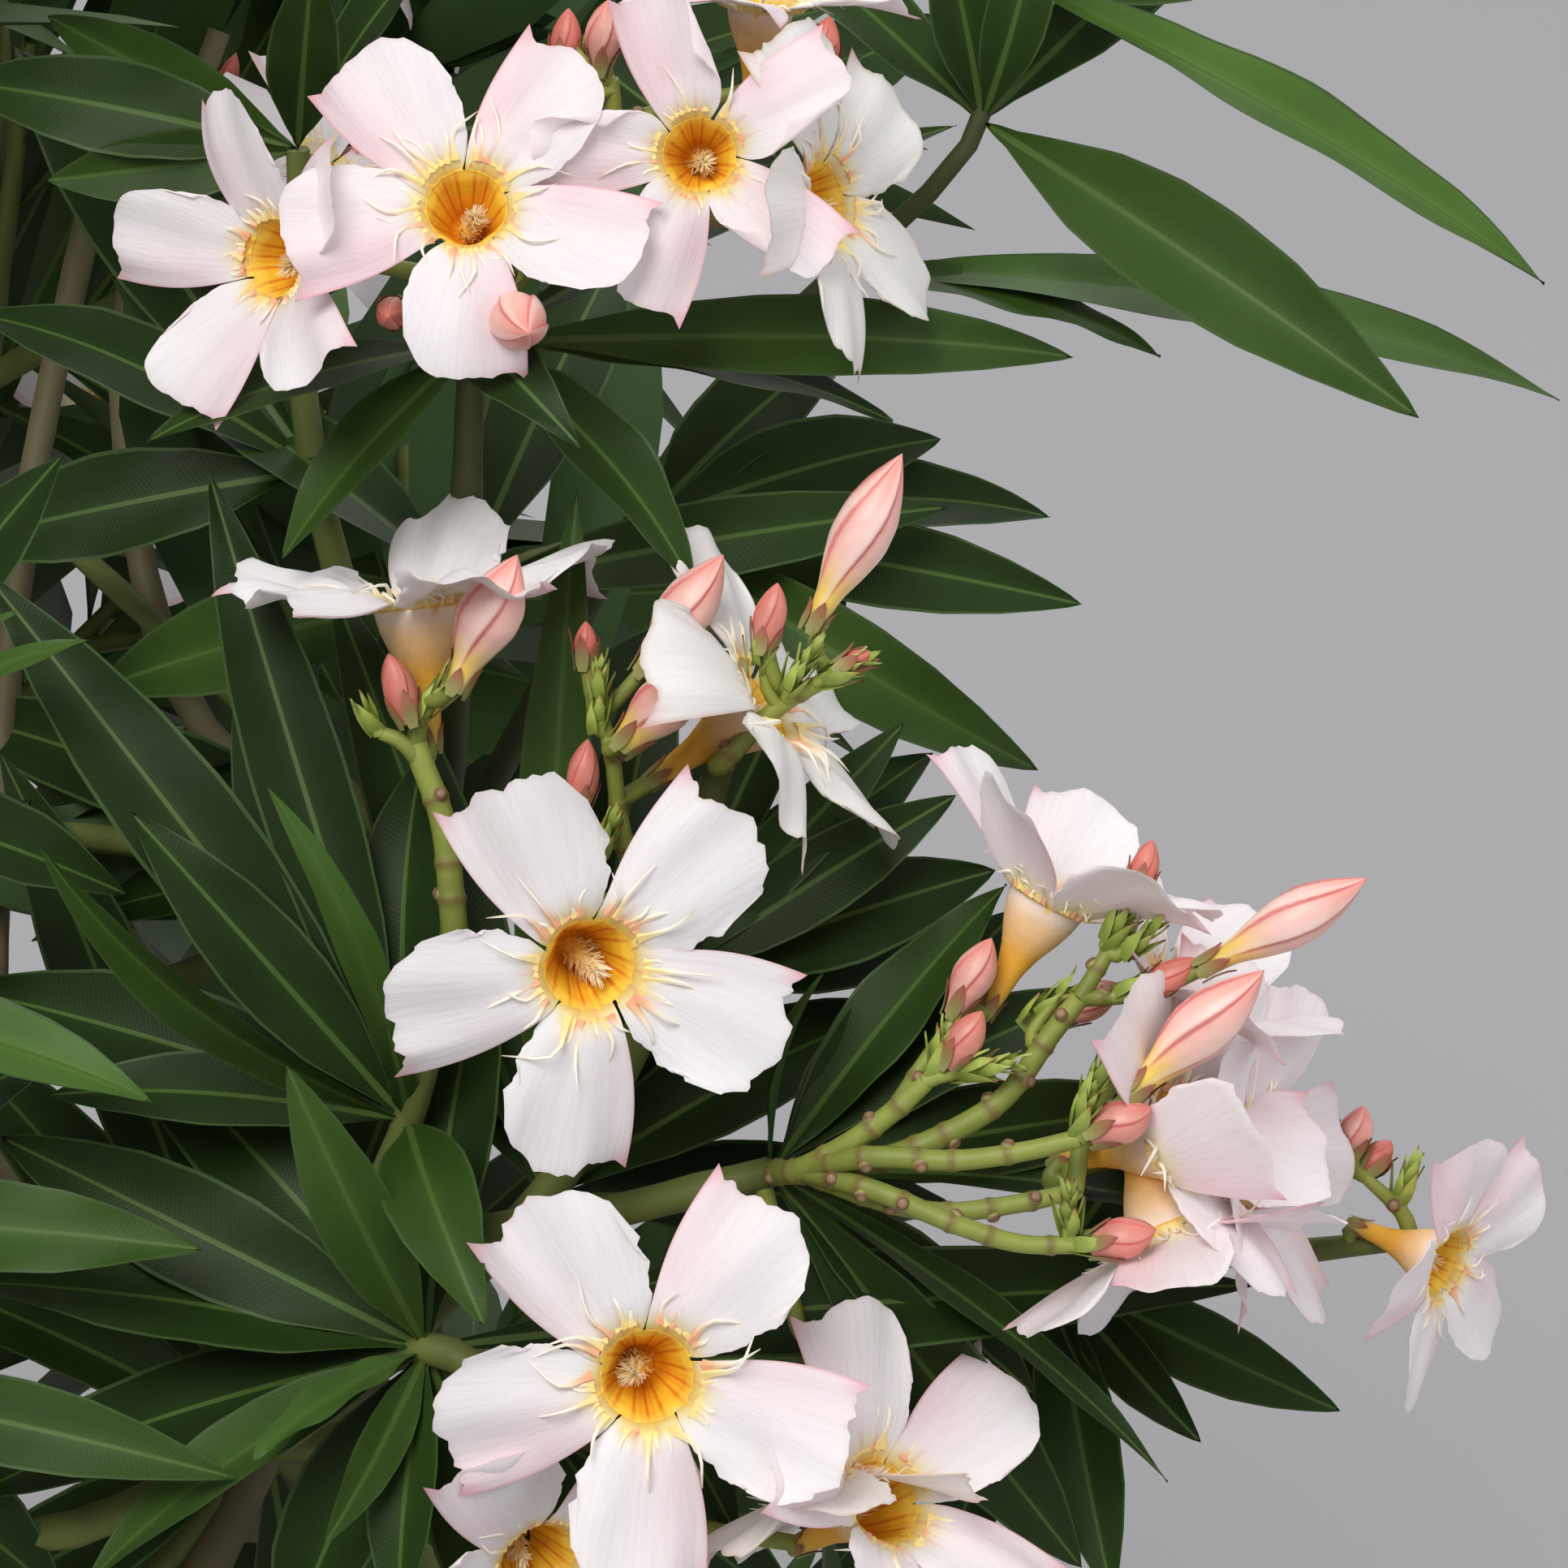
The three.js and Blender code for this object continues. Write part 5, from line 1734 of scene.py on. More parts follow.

# Leaves by the place they grow from. A leaf is its tip's right, up and away, its width in mm, its tone, its
# roll and its arch, and what is None or left out is drawn.
# Tone 0 in this table is partly older leaves and partly painted shade, for leaves deep in the growth and in
# its dark gaps.
whorls = [
    ((25, 84, 56), [
        (81, 46.7, 28, 19, 2, 22, 0.07), (19, 112, 50, 14, None, 12), (33, 114, 46, 11, 1, 20, 0.14),
        (-4, 110, 66, 15, 1), (60, 120, 96, 15, None, 30),
    ]),
    ((8, 68, 62), [
        (99, 49, 84, 18, 3, 20, 0.06), (48, 54.4, 66, 12, 2, 24, 0.07), (-30, 96, 80, 16, 0),
    ]),
    ((27, 104, 58), [
        (97, 63.8, 52, 17, 3, 24, 0.03), (62, 104, 66, 12, None, 40),
    ]),
    ((-39.5, 56, 14), [
        (22, 84, 44, 11, 1, 16, 0.04), (-81.3, 43.6, 4, 13, None, 24, 0.06),
        (-26, 43, -12, 12, None, 20, 0.22), (-64, 28.6, 10, 13, 2, 20), (-11.5, 25, 4, 14, 1, 18, 0.1),
        (13.9, 46.2, 24, 14, 0, 24, 0.07), (37, 54.4, 40, 13, 2, 24, 0.12),
    ]),
    ((-41, 25, 38), [
        (21, 35.3, 42, 13, 1, 26, 0.16), (-88, 12, 58, 18), (-80, 52, 80, 18), (-20, 70, 90, 18),
    ]),
    ((-18, 33, 48), [
        (20, 44, 60, 17, 0, 8), (34, 34, 66, 17, 0, 8), (8, 56, 70, 17, 0),
        (38, 22.9, 54, 15, 1, 24, 0.08), (32.5, 1.7, 50, 15, 2, 30, 0.27), (17, 8, 44, 12, 0, 30, 0.1),
    ]),
    ((-62, 81, 42), [
        (-106, 89.6, 50, 16, None, 24), (-94, 98, 56, 12, None, 30), (-94, 77, 44, 12, 2, 40),
        (-60, 106, 20, 12), (-40, 110, 40, 14, None, 30),
    ]),
    ((-60, 40, 60), [
        (-104, 60, 62, 18, 0, 16), (-108, 30, 72, 18, 0), (-98, 94, 96, 18, 0),
    ]),
    ((-48, -43, 18), [
        (-46, 4, 30, 17, 0), (-106, -26, 40, 19, 0), (-70, 10, 44, 17, 0),
        (-102, 27, 26, 18.5, 0, 8, 0.05), (-83.4, -3.5, 12, 15, 0, 14, 0.04),
        (-73.3, 39.6, 28, 15.5, 0, 8, 0.04), (-94.8, -8.2, -8, 13, 2, 78, 0.09),
        (-66, -0.2, -5, 8, 3, 20, 0.09), (-93.8, -39.7, 20, 15, 0, None, 0.06),
        (-38.2, -69.3, -10, 15, 2, 10, 0.16), (-50.8, -30.6, 6, 5, 2, 10),
    ]),
    ((-45, -72, 14), [
        (-37, -20, 34, 17, 0), (-86, -28, 42, 18, 0), (-106, -92, 28, 19, 0), (-35, -112, 26, 17, 0),
        (-64, -112, 22, 17, 1), (-63.5, -35.8, -6, 13, 2, 20, 0.08), (-68, -86.3, -2, 8, 3, 26, 0.06),
        (-105, -63.5, 18, 19, 1, 14, 0.04), (-89, -102, 6, 14, 2, 24), (-58.6, -97, 2, 8, 2, 30),
        (-49, -108, 8, 12, 1, 20), (-100, -45, 30, 18, 0), (-20, -112, 30, 16, 0, 10),
        (4, -108, 46, 18, 0), (60, -64, 36, 17, 0, 8, 0.05),
    ]),
    ((-127, -26, 13), [
        (-80.5, -40.6, 0, 14, 3, 10, 0.07), (-96, -2, 34, 17, 0),
    ]),
    ((-128, -55, 12), [
        (-74, -59.4, 2, 15, 2, 12, 0.06), (-92, -34, 36, 17, 0),
    ]),
    ((-126, -76, 14), [
        (-70, -88.5, 2, 14, 2, 14, 0.09), (-92, -104, 40, 17, 0),
    ]),
    ((-124, 0, 14), [
        (-88.3, 18.4, 6, 8, 3, 20, 0.08), (-98, 22, 16, 9, 3, 30, 0.08), (-84, -14, 26, 16, 0),
        (-92, 42, 40, 16, 0),
    ]),
    ((-30, -52, 26), [
        (-15, 22, 42, 17, 0), (-45, -14, 38, 16, 0), (16, -28, 44, 18, 0), (22, -54, 46, 18, 0),
        (-2, -14, 52, 18, 0), (-26.3, 37.9, 16, 12, 2, 8, 0.05), (-58, 26, 40, 17, 0), (2, 16, 46, 17, 0),
        (-6, -96, 26, 17, 0),
    ]),
    ((-16, -26, 22), [
        (27, -11, 34, 17, 0, 10), (19, 4, 42, 17, 0, 10), (15.4, 7.9, 28, 11, 1, 20, 0.05),
        (22, -1.4, 26, 13, 0, 14, 0.05), (8, 24, 50, 14, 0), (24, -19, 44, 15, 0, 10, 0.04),
    ]),
    ((-1.7, -49.5, 17), [
        (52, -41, 36, 16, 0, 8), (32, -78, 34, 16, 0), (30, -16, 34, 17, 0, 8),
        (28.4, -12.8, 26, 14, 1, 14, 0.04), (5, -24.2, 8, 10, 2, 74, 0.08),
        (67.7, -59.4, 30, 15, 1, 34, 0.06), (49, -89, 24, 9, 1, 30, 0.05), (22, -30, 44, 16, 0),
        (46, -26, 44, 13, 0, 10), (38, -100, 48, 17, 1),
    ]),
    ((34, -62, 60), [
        (60, -26, 56, 15, 0, 10), (4, -84, 62, 18, 0), (71, -80, 52, 13, 1, 30, 0.08),
        (53.2, -84, 50, 10, 0, 30), (38.7, -76, 40, 6, 0, 40), (42, -104, 48, 14, 1, 20),
        (20, -100, 70, 16, 0),
    ]),
    (forks["lower"], [
        (-110, -30, 80, 18, 0), (-60, -130, 110, 18, 0), (-20, -40, 110, 18, 0), (-112, -110, 60, 18, 0),
        (-30, 0, 100, 18, 0), (-100, 4, 92, 18, 0), (-120, -60, 70, 18, 0),
    ]),
    (forks["upper"], [
        (-110, 10, 120, 18, 0), (-4, 24, 110, 18, 0), (-96, -20, 96, 18, 0), (-74, 70, 120, 18, 0),
    ]),
]

# Blooms: the middle of the throat's rim, where the bloom faces, how far its first petal is turned from the
# right in degrees, its size and its looks.
blooms = [
    ((-64.5, 67, 4), (-0.62, -0.05, -0.78), 30, 0.8,
     {"open": 55, "blush": 0.6, "ragged": 0.3, "point": 0.25, "curls": (0, 30, 0, 0, 20)}),
    ((-40.5, 73.5, -6), (0.02, 0.26, -0.96), 57, 0.84,
     {"open": 76, "blush": 0.75, "ragged": 0.3, "curls": (0, 0, 0, 50, 0)}),
    ((-10.8, 80.3, -3), (0.02, -0.03, -1), 33, 0.76,
     {"open": 74, "blush": 0.85, "ragged": 0.2, "point": 0.65}),
    ((5.2, 74.5, 6), (0.85, 0.1, -0.5), 60, 0.82,
     {"open": 80, "faded": 0.7, "blush": 0.1, "ragged": 0.6, "curl": 20}),
    ((-46.8, 22.4, 8), (-0.1, 0.99, -0.06), 12, 0.92,
     {"open": 66, "opens": (8, -22, 4, 6, 12), "blush": 0.15, "wavy": 2.8, "curl": 18, "ragged": 1.3}),
    ((-3, 10, 5), (0.8, 0.55, -0.26), 2, 0.9,
     {"open": 84, "curls": (0, 0, 0, 50, 10), "faded": 0.5, "blush": 0.05, "wavy": 1.6, "ragged": 0.5}),
    ((-24.9, -23, -8), (0.24, -0.2, -0.95), 50, 0.95, {"open": 86, "blush": 0.22, "ragged": 0.9}),
    ((33.5, -15, 4), (0.46, 0.86, -0.14), 20, 0.84,
     {"open": 44, "curls": (44, 0, 0, 0, 20), "blush": 0.45, "curl": 18, "ragged": 0.5}),
    ((49, -45, 6), (0.76, 0.22, -0.56), 84, 0.9,
     {"open": 54, "opens": (4, 6, -54, 0, 4), "blush": 0.6, "curl": 20, "ragged": 0.6}),
    ((58.5, -48, 18.5), (0.85, 0.0, -0.45), 10, 0.84, {"open": 72, "blush": 0.5, "ragged": 0.4}),
    ((48.5, -56, 10), (0.35, -0.9, -0.1), 30, 0.84, {"open": 66, "blush": 0.5, "ragged": 0.4}),
    ((-17.5, -75.5, -6), (0.1, -0.06, -1), 57, 0.96, {"open": 84, "blush": 0.55, "ragged": 0.8}),
    ((-31.5, -99, 10), (0.45, -0.4, -0.8), 46, 0.86, {"open": 70, "blush": 0.6, "ragged": 0.4}),
    ((12.5, -91.5, 12), (0.6, 0.42, -0.68), 48, 0.92,
     {"open": 66, "blush": 0.55, "ragged": 0.4, "point": 0.2}),
    ((6, -88, 14), (0.2, -0.9, -0.2), 20, 0.72, {"open": 64, "faded": 1, "blush": 0.1}),
    ((84, -61, 36), (0.75, -0.3, -0.5), 20, 0.72, {"open": 80, "blush": 0.9, "ragged": 0.3}),
    ((-3, 99, 20), (0.1, 0.9, -0.3), 50, 0.72, {"open": 80, "blush": 0.5, "ragged": 0.3}),
    ((50, -27, 18), (0.5, 0.7, -0.3), 0, 0.8, {"open": 60, "blush": 0.4, "ragged": 0.4}),
]

# Buds: base, tip, width in mm and ripeness. 1 is pale and about to open, 0 is small and red.
buds = [
    ((3.5, 19.8, -2), (15.1, 42.2, -6), 7.8, 1),
    ((-42, 12, -3), (-34, 29.3, -7), 8.2, 0.95),
    ((-18.2, 14.1, 4), (-7.7, 29.3, 0), 7.2, 0.85),
    ((-20.8, 4.8, -2), (-10.5, 14.9, -6), 7.4, 0.6),
    ((-2.7, 17.2, -2), (-0.8, 25.7, -4), 4.2, 0.15),
    ((-47.7, 7.9, 2), (-50.5, 16.7, 0), 4.4, 0.1),
    ((-25.3, 15.1, 4), (-25.3, 20.8, 3), 3, 0),
    ((-26.3, -3.5, 4), (-25, 5.8, 2), 4.2, 0.1),
    ((7.1, 14.6, -3), (11.1, 16.9, -4), 2.6, 0),
    ((53.2, -23.7, -2), (74.5, -12, -6), 7.2, 1),
    ((43.9, -39.8, -4), (61.3, -23.7, -8), 8, 0.95),
    ((46, -26.8, -1), (52.7, -22.2, -2), 4, 0.1),
    ((45, -13.9, 0), (47, -7.1, -1), 3.6, 0.05),
    ((21.6, -29.4, 2), (26.5, -19.6, 0), 5.4, 0.5),
    ((21.1, -36.1, 0), (25.3, -28.9, -2), 4.8, 0.2),
    ((39.2, -44.9, -3), (47, -41.3, -5), 5.8, 0.3),
    ((39.2, -58.9, -1), (47.5, -56.8, -3), 5.4, 0.2),
    ((-35.5, 61, -4), (-32.5, 57.5, -18), 7.4, 0.8),
    ((-49.5, 60.5, 2), (-50.5, 59.6, -6), 4.2, 0.1),
    ((-28, 91, 10), (-27.5, 99, 8), 4, 0.05),
    ((-23.5, 91, 10), (-22.5, 100, 6), 5, 0.5),
    ((4.5, 90.5, 12), (5.8, 98, 10), 4.2, 0),
    ((72, -47.5, 40), (74, -41, 38), 4.6, 0.5),
    ((74, -49.5, 42), (77.5, -45.5, 42), 4, 0),
    ((35, -30, 10), (43, -25.5, 8), 4.8, 0.4),
]

# Flower stalks: radii at foot and tip, and the run, with swollen rings at random steps along it.
stalkForks = {
    "fan": (2, -49.2, 8),
    "fanTop": (37.7, -27.3, 0),
    "left": (-46.2, 2.7, 5),
    "middle": (-21, -4, 8),
    "top": (-22, 84, 14),
}
stalks = [
    ((1.9, 1.6), [(-38, 64, 12), (-37, 68, 12)]),
    ((2.2, 1.9), [(-42, -19, 8), (-43.6, -4.6, 6), stalkForks["left"], (-47, 5, 5)]),
    ((1.7, 1.2), [(-47, 5, 5), (-46.5, 8, 4), (-45.5, 11, 2)]),
    ((1.6, 1.1), [stalkForks["left"], (-49, 5.5, 4), (-51.5, 6.5, 4)]),
    ((1.9, 1.3), [(-8, 3, 12), (-7.9, 2.7, 3), (-0.6, 9.9, 2), (6.6, 14, -1)]),
    ((1.9, 1.2), [(-16, -26, 22), stalkForks["middle"], (-22, 4, 4), (-23.5, 9, 4)]),
    ((1.3, 1.0), [stalkForks["middle"], (-25, -8, 3), (-26, -4.5, 4)]),
    ((2.1, 1.6), [(-1.7, -49.5, 17), stalkForks["fan"], (8, -46, 4), (13.9, -41.8, 2), (18, -38, 1)]),
    ((1.5, 1.2), [(13.9, -41.8, 2), (18, -35.5, 2), (21.6, -30.4, 2)]),
    (
        (2.1, 1.6),
        [
            stalkForks["fan"], (12, -48, 5), (22, -44, 3), (28.4, -39.7, 2), (34, -32, 1),
            stalkForks["fanTop"],
        ],
    ),
    ((1.4, 1.1), [stalkForks["fanTop"], (41, -22, 0), (44, -17, 0)]),
    ((1.4, 1.1), [stalkForks["fanTop"], (42, -27.2, 0), (46, -26.8, -1)]),
    ((1.9, 1.5), [stalkForks["fan"], (11, -47.6, 1), (22, -48, -1), (31, -46.8, -2), (37.7, -45.2, -3)]),
    ((1.8, 1.4), [stalkForks["fan"], (12, -53, 5), (20, -54.6, 3), (30, -53.5, 3), (37, -52, 4)]),
    ((1.8, 1.4), [stalkForks["fan"], (12, -52, 1), (22, -56.2, -1), (30, -58.6, -1), (37.7, -58.8, -1)]),
    ((1.8, 1.3), [(-24, -84, 16), (-20, -88, 8), (-19, -86, 4)]),
    ((1.5, 1.0), [(80, -58, 42), (79, -55, 42), (74, -50, 41)]),
    ((1.8, 1.2), [(-39.5, 56, 14), (-30, 70, 16), stalkForks["top"], (-22, 90, 11)]),
    ((1.6, 1.0), [stalkForks["top"], (-6, 88, 14), (4, 89, 13)]),
]

# Clusters of bracts: foot, tip and how many.
bracts = [
    ((-46.5, 8, 3), (-41, 16, 0), 9),
    ((-51.5, 6.5, 4), (-53, 9, 3), 4),
    ((-24, 6, 3), (-23.5, 14.5, 1), 12),
    ((-19.5, 5, 1), (-17, 9, -2), 8),
    ((-24, -10, 1), (-22, -5, -1), 9),
    ((0, 11, 0), (3.5, 17, -3), 12),
    ((4, 13, -2), (9.5, 15.5, -4), 9),
    ((-3.5, 13.5, 0), (-2.7, 18, -2), 6),
    ((40.5, -21, 0), (44.5, -15, -1), 12),
    ((43, -22.5, 0), (47.5, -18, -3), 9),
    ((42, -27.2, 0), (46, -25.6, -1), 7),
    ((19, -37.5, 1), (20.5, -32, 0), 9),
    ((21, -36.8, 0), (29, -35.6, -3), 12),
    ((37, -44.6, -3), (39.4, -38.5, -6), 12),
    ((38, -41, -5), (41.5, -34.5, -7), 7),
    ((36.5, -58, -1), (36.2, -52.5, -4), 11),
    ((36, -58.6, -1), (40, -58.4, -2), 7),
    ((30, -31, 6), (36, -26, 5), 9),
    ((78, -54, 42), (80, -49, 41), 8),
    ((-30, 70, 14), (-34, 65, 8), 7),
    ((-24, 88, 11), (-26, 93, 9), 7),
]


def placed(run):
    return [onBestSide(p) for p in run]


towardsViewer = alongBestSide((0, 0, -1))
upOnView = alongBestSide((0, 1, 0))


def nearestOn(paths, point):
    spots = np.concatenate([p["places"] for p in paths])
    return spots[np.argmin(np.linalg.norm(spots - point, axis=1))]


shootPaths = []
shootHeap = newHeap()
for own, b in enumerate(boughs):
    if b["name"] in handSet:
        fork = onBestSide(handSet[b["name"]]["towards"])
        path = pathThrough([b["end"] - b["heads"] * 3, b["end"], fork])
        addTube(shootHeap, path, np.linspace(3.7, 3.0, 9), 12, 9, 1)
        shootPaths.append(path)
for kind, ends, run in shoots:
    path = pathThrough(placed(run))
    rings = 4 * len(run) + 3
    radii = np.linspace(*ends, rings) * (1 + 0.1 * (np.arange(rings) % 4 == 0))
    addTube(shootHeap, path, radii, 12, rings, kind)
    shootPaths.append(path)
nodes = [f"mass_{name}" for name in handSet]


# Growth behind them by the crown's rule, kept off the side where the view is open
behind = {
    "1_upper": {
        "fork": "upper",
        "ways": [
            (-0.7, 0.6, 0.4), (-0.95, 0.1, 0.4), (-0.1, 0.7, 0.7), (-0.5, 0.1, 0.85),
            (0.3, 0.3, 0.9), (-0.8, -0.3, 0.6),
        ],
    },
    "1_middle": {
        "fork": "lower",
        "ways": [
            (-0.9, 0.35, 0.4), (-0.6, -0.7, 0.4), (0.1, -0.5, 0.85), (-0.2, 0.45, 0.85),
            (0.45, 0.1, 0.85), (-0.6, 0.5, 0.6), (0.5, -0.5, 0.7), (-0.95, -0.1, 0.3),
        ],
    },
}
behindRoom = {"right": 3, "lowRight": 18, "lowFrom": -12, "away": 30, "rodLength": (84, 108)}
behindShares = (0.3, 0.5, 0.7, 0.9, 1.0)


def onView(point):
    away = point - bestSide["centre"]
    back = away[1] * math.cos(viewLean) - away[2] * math.sin(viewLean)
    rise = away[1] * math.sin(viewLean) + away[2] * math.cos(viewLean)
    scale = bestSide["viewDistance"] / (bestSide["viewDistance"] + back)
    return away[0] * scale, rise * scale, back


def hiddenBehind(point):
    right, rise, back = onView(point)
    limit = behindRoom["lowRight"] if rise < behindRoom["lowFrom"] else behindRoom["right"]
    return right < limit and back > behindRoom["away"]


backHeap = newHeap()
random = seeded(7207)
for own, b in enumerate(boughs):
    if b["name"] not in behind:
        continue
    grown = {"leaves": []}
    at = onBestSide(forks[behind[b["name"]]["fork"]])
    for way in behind[b["name"]]["ways"]:
        out = alongBestSide(way)
        end = at + out * random(*behindRoom["rodLength"])
        addRod(shootHeap, at, end, (2.3, 1.5), 7)
        turn = random(0, 120)
        for w, share in enumerate(behindShares):
            lengths = [random(*fine["leafLength"]) for _ in range(3)]
            lean = mixed(*fine["angles"], share) + random(-5, 5)
            whorlAt = at + (end - at) * share
            droop = random(*fine["droop"])
            addWhorl(grown, own, whorlAt, out, turn + 60 * w, lean, droop, lengths, 0)
        addTip(grown, own, end, out, turn, random)
    kept = []
    for l in grown["leaves"]:
        if hiddenBehind(l["tip"]) and hiddenBehind((l["tip"] + l["base"]) / 2):
            kept.append(l)
    dressLeaves(kept, random)
    addBlades(backHeap, kept, crownBlade)
    print("leaves behind", b["name"], len(kept))
makePiece("leaves_behind_best_side", backHeap, foliage)
shadedShoot = shootMaterial("shaded_shoot", (0.035, 0.045, 0.012), (0.07, 0.085, 0.022))
makePiece("shoots_of_best_side", shootHeap, [youngShoot, ripeShoot, shadedShoot], nodes)

nearLeaf = {
    "widthShare": 0.83,
    "arch": (0.03, 0.09),
    "fold": (0.14, 0.3),
    "roll": (0, 22),
    "twist": (-14, 14),
    "wave": (0.1, 0.45),
    "shade": (0.88, 1.14),
    "lookUp": 0.55,
}
nearFacing = unit(towardsViewer + upOnView * nearLeaf["lookUp"])
leafRow = ("width", "tone", "roll", "arch")
random = seeded(7301)
leafCount = 0
for n, (place, rows) in enumerate(whorls):
    at = nearestOn(shootPaths, onBestSide(place))
    whorl = []
    for row in rows:
        given = {key: value for key, value in zip(leafRow, row[3:]) if value is not None}
        side = 1 if random(0, 1) < 0.5 else -1
        made = {
            "base": at,
            "tip": onBestSide(row[:3]),
            "facing": nearFacing,
            "width": given["width"] * nearLeaf["widthShare"],
            "tone": given.get("tone", int(random(0, 2.99))),
            "arch": given.get("arch", random(*nearLeaf["arch"])),
            "fold": random(*nearLeaf["fold"]),
            "roll": side * given.get("roll", random(*nearLeaf["roll"])),
            "twist": random(*nearLeaf["twist"]),
            "wave": random(*nearLeaf["wave"]),
            "phase": random(0, 6),
        }
        made["hue"] = np.array(leafHues[made["tone"]]) * random(*nearLeaf["shade"])
        whorl.append(made)
    heap = newHeap()
    addBlades(heap, whorl, closeBlade)
    makePiece(f"leaves_of_whorl_{n + 1}", heap, closeFoliage)
    leafCount += len(whorl)
print("leaves of the best side:", leafCount)


# Skins that take their colour from the tint of each place, broken by fine veins or specks
def tintSkin(name, roughness, specular, veins, bump, speck=0.06):
    skin = newMaterial(name, (0.8, 0.8, 0.8), roughness, specular)
    place = objectPlace(skin)
    fleck = noiseOf(skin, place, veins, 3)
    shade = rampOf(skin, fleck, [(0.3, (1 - speck,) * 3), (0.7, (1 + speck,) * 3)])
    colourFrom(skin, multiplied(skin, tintOf(skin), shade))
    addBump(skin, noiseOf(skin, place, veins * 2.2, 2), bump, 0.0004)
    return skin


def petalMaterial():
    skin = newMaterial("petal_skin", petalTints["white"], 0.5, 0.3)
    shader = shaderOf(skin)
    shader.inputs["Sheen Weight"].default_value = 0.12
    shader.inputs["Subsurface Weight"].default_value = 0.3
    shader.inputs["Subsurface Radius"].default_value = (1, 0.75, 0.7)
    shader.inputs["Subsurface Scale"].default_value = 0.003
    spot = addNode(skin, "ShaderNodeAttribute", attribute_name="spot").outputs["Vector"]
    veins = noiseOf(skin, spot, 1.5, 3, 0.6)
    shade = rampOf(skin, veins, [(0.32, (0.965, 0.952, 0.957)), (0.6, (1.02, 1.02, 1.02))])
    colourFrom(skin, multiplied(skin, tintOf(skin), shade))
    addBump(skin, veins, 0.22, 0.0004)
    return skin


nearPetal = petalMaterial()
nearThroat = tintSkin("throat_skin", 0.55, 0.3, 500, 0.2)
nearBud = tintSkin("bud_skin", 0.42, 0.45, 300, 0.15)
nearStalk = tintSkin("stalk_skin", 0.5, 0.4, 260, 0.3, 0.1)

bloomFeet = []
for n, (at, facing, petalTurn, size, looks) in enumerate(blooms):
    form = bloomForm(fineBloom, {**usualLooks, **looks}, 900 + n)
    axis = alongBestSide(facing)
    foot = onBestSide(at) - axis * petalForm["rimHeight"] * size
    right = np.array([1.0, 0.0, 0.0])
    level = unit(right - axis * np.dot(right, axis))
    turn = axesFrom(axis, level, petalTurn)
    bloomFeet.append((foot, axis))
    for label, kinds, slot in (("petals", (0, 1, 2), "petals"), ("throat", (3, 4, 5, 6), "throats")):
        heap = newHeap()
        addCopy(heap, partOf(form, kinds), turn, foot, size)
        makePiece(f"bloom_{n + 1}_{label}", heap, [nearPetal] * 3 + [nearThroat] * 4)
print("blooms of the best side:", len(blooms))

stalkTints = {
    "green": (0.18, 0.215, 0.035),
    "pale": (0.29, 0.335, 0.065),
    "ring": (0.17, 0.075, 0.035),
    "scar": (0.3, 0.2, 0.11),
}
stalkHeap = newHeap()
stalkPaths = []
random = seeded(7411)
for ends, run in stalks:
    path = pathThrough(placed(run))
    long = path["run"][-1]
    rings = max(9, int(long / 0.55))
    shares = np.linspace(0, 1, rings)
    knots = np.zeros(rings)
    at = random(3, 6)
    while at < long - 1.5:
        knots = knots + np.exp(-(((shares * long - at) / 0.5) ** 2))
        at += random(4, 8.5)
    radii = 0.82 * np.linspace(*ends, rings) * (1 + 0.16 * knots)
    tints = mixed(stalkTints["green"], stalkTints["pale"], shares[:, None])
    tints = mixed(tints, stalkTints["ring"], np.clip(knots, 0, 1)[:, None] * 0.75)
    addTube(stalkHeap, path, radii, 12, rings, 0, tints)
    stalkPaths.append(path)
    # round scars of fallen stalks beside the rings
    for k in np.flatnonzero((knots[1:-1] > knots[:-2]) & (knots[1:-1] > knots[2:])) + 1:
        centre, ahead = pointAt(path, shares[k]), directionAt(path, shares[k])
        out = unit(tipped(ahead, 70, random(0, 360)) + towardsViewer * 0.3)
        reaches = (radii[k] * 0.6, radii[k] + 0.25, radii[k] + 0.5)
        run = pathThrough([centre + out * reach for reach in reaches])
        tints = np.array([stalkTints[tone] for tone in ("green", "pale", "scar", "ring", "scar")])
        addTube(stalkHeap, run, np.array((0.95, 1.0, 0.95, 0.8, 0.4)), 10, 5, 0, tints)


def stalkTo(foot, axis, radius):
    root = nearestOn(stalkPaths + shootPaths, foot)
    middle = (root + foot) / 2 - axis * 0.18 * np.linalg.norm(foot - root)
    path = pathThrough([root, middle, foot + axis * 1.2])
    rings = max(5, int(path["run"][-1] / 1.2))
    tints = np.repeat(mixed(stalkTints["green"], stalkTints["pale"], 0.5)[None], rings, axis=0)
    addTube(stalkHeap, path, np.linspace(radius * 1.1, radius, rings), 9, rings, 0, tints)


for foot, axis in bloomFeet:
    stalkTo(foot, axis, 1.15)
budHeap = newHeap()
for n, (base, end, width, ripeness) in enumerate(buds):
    foot, tip = onBestSide(base), onBestSide(end)
    axis = unit(tip - foot)
    form = budForm(np.linalg.norm(tip - foot), width, 28, 75, ripeness, 1200 + n)
    addCopy(budHeap, form, turnTo(axis, random(0, 360)), foot)
    stalkTo(foot, axis, 0.95)
makePiece("buds_of_best_side", budHeap, [nearBud, nearStalk])
bractHeap = newHeap()
for n, (base, end, count) in enumerate(bracts):
    foot, tip = onBestSide(base), onBestSide(end)
    axis = unit(tip - foot)
    form = bractsForm(int(count * 1.4), np.linalg.norm(tip - foot), 1300 + n)
    addCopy(bractHeap, form, turnTo(axis, random(0, 360)), foot, 1.0)
    root = nearestOn(stalkPaths, foot)
    path = pathThrough([root, (root + foot) / 2, tip])
    tints = np.repeat(np.array(stalkTints["pale"])[None], 7, axis=0)
    addTube(stalkHeap, path, np.linspace(1.1, 0.5, 7), 8, 7, 0, tints)
makePiece("bracts_of_best_side", bractHeap, [nearStalk])
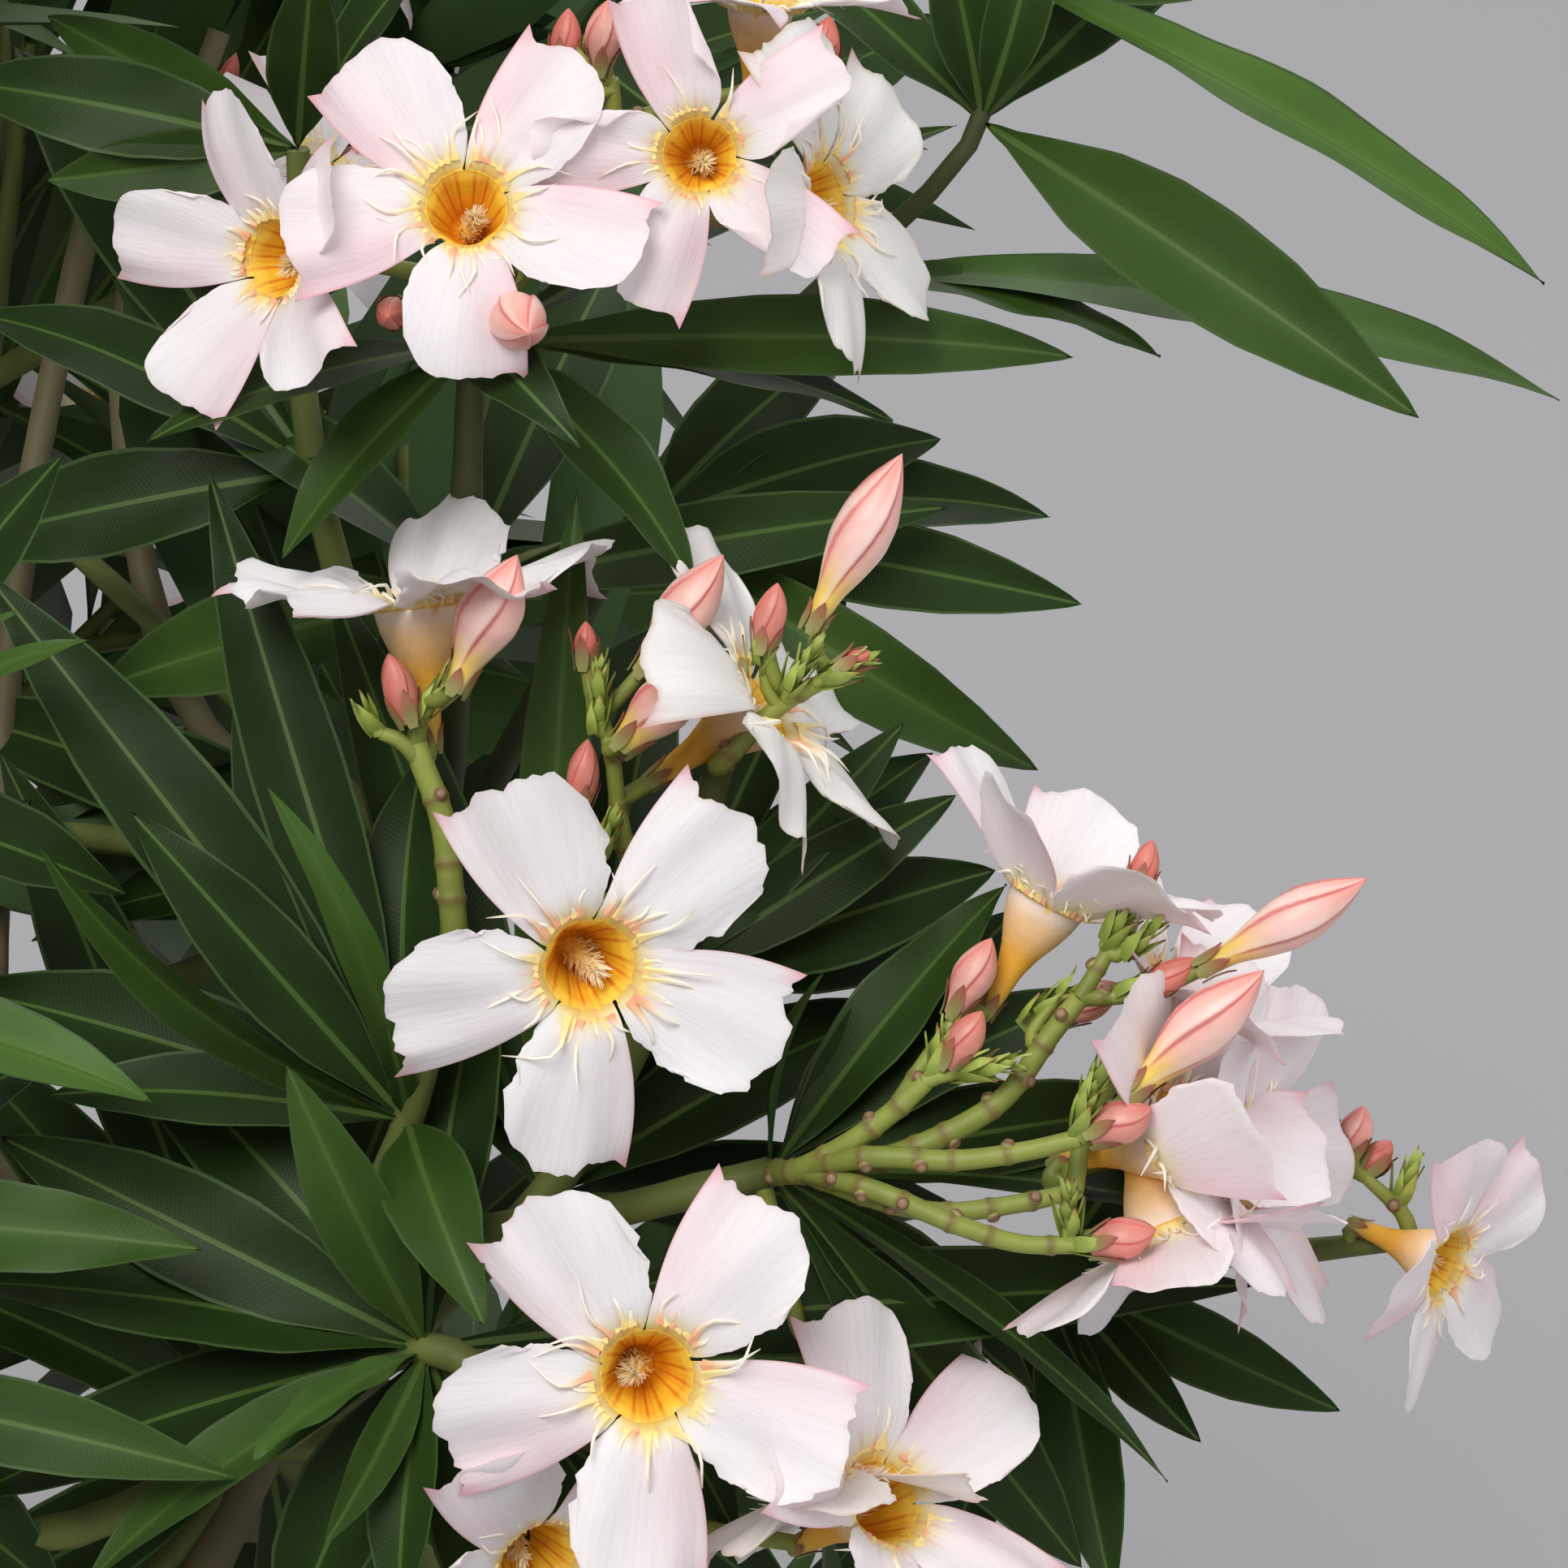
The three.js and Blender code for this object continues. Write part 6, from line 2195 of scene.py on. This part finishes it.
makePiece("flower_stalks_of_best_side", stalkHeap, [nearStalk])
print("buds, bracts and stalks of the best side made")

# Floor, light and camera
view = {"sensor": 36, "lens": 126, "near": 0.01, "floorSize": 80, "floorDrop": 0.0005}
bpy.ops.mesh.primitive_plane_add(size=view["floorSize"], location=(0, 0, -view["floorDrop"]))
floor = bpy.context.object
floor.name = "floor"
floorSkin = newMaterial("floor_skin", (0.42, 0.415, 0.425), 0.9, 0.2)
floor.data.materials.append(floorSkin)

world = bpy.data.worlds.new("studio")
world.use_nodes = True
sky = world.node_tree.nodes["Background"]
sky.inputs["Color"].default_value = (0.97, 0.98, 1.0, 1)
sky.inputs["Strength"].default_value = 0.5
bpy.context.scene.world = world


def addLamp(name, place, target, size, power, tone):
    data = bpy.data.lights.new(name, "AREA")
    data.shape = "DISK"
    data.size = size
    data.energy = power
    data.color = tone
    lamp = bpy.data.objects.new(name, data)
    lamp.location = place
    lamp.rotation_mode = "QUATERNION"
    axes = turnTo(np.array(place, float) - np.array(target, float), 0)
    lamp.rotation_quaternion = Matrix([list(row) for row in axes]).to_quaternion()
    lamp.visible_camera = False
    bpy.context.scene.collection.objects.link(lamp)


addLamp("key", (-0.8, -2.4, 4.4), (0.1, -0.1, 0.8), 2.6, 144, (1, 0.985, 0.96))
addLamp("fill", (3.4, -1.2, 2.2), (0, 0, 0.7), 3.0, 26, (0.94, 0.97, 1))
addLamp("back", (0.6, 3.4, 3.2), (0, 0, 0.8), 3.0, 36, (1, 1, 1))

cameraData = bpy.data.cameras.new("camera")
cameraData.sensor_width = view["sensor"]
cameraData.lens = view["lens"]
cameraData.clip_start = view["near"]
camera = bpy.data.objects.new("camera", cameraData)
eye = onBestSide((0, 0, 0)) + towardsViewer * bestSide["viewDistance"]
camera.location = eye * millimetre
camera.rotation_euler = (math.radians(90 - bestSide["tilt"]), 0, 0)
bpy.context.scene.collection.objects.link(camera)
bpy.context.scene.camera = camera
bpy.context.scene.view_settings.view_transform = "Standard"
print("floor, light and camera ready")
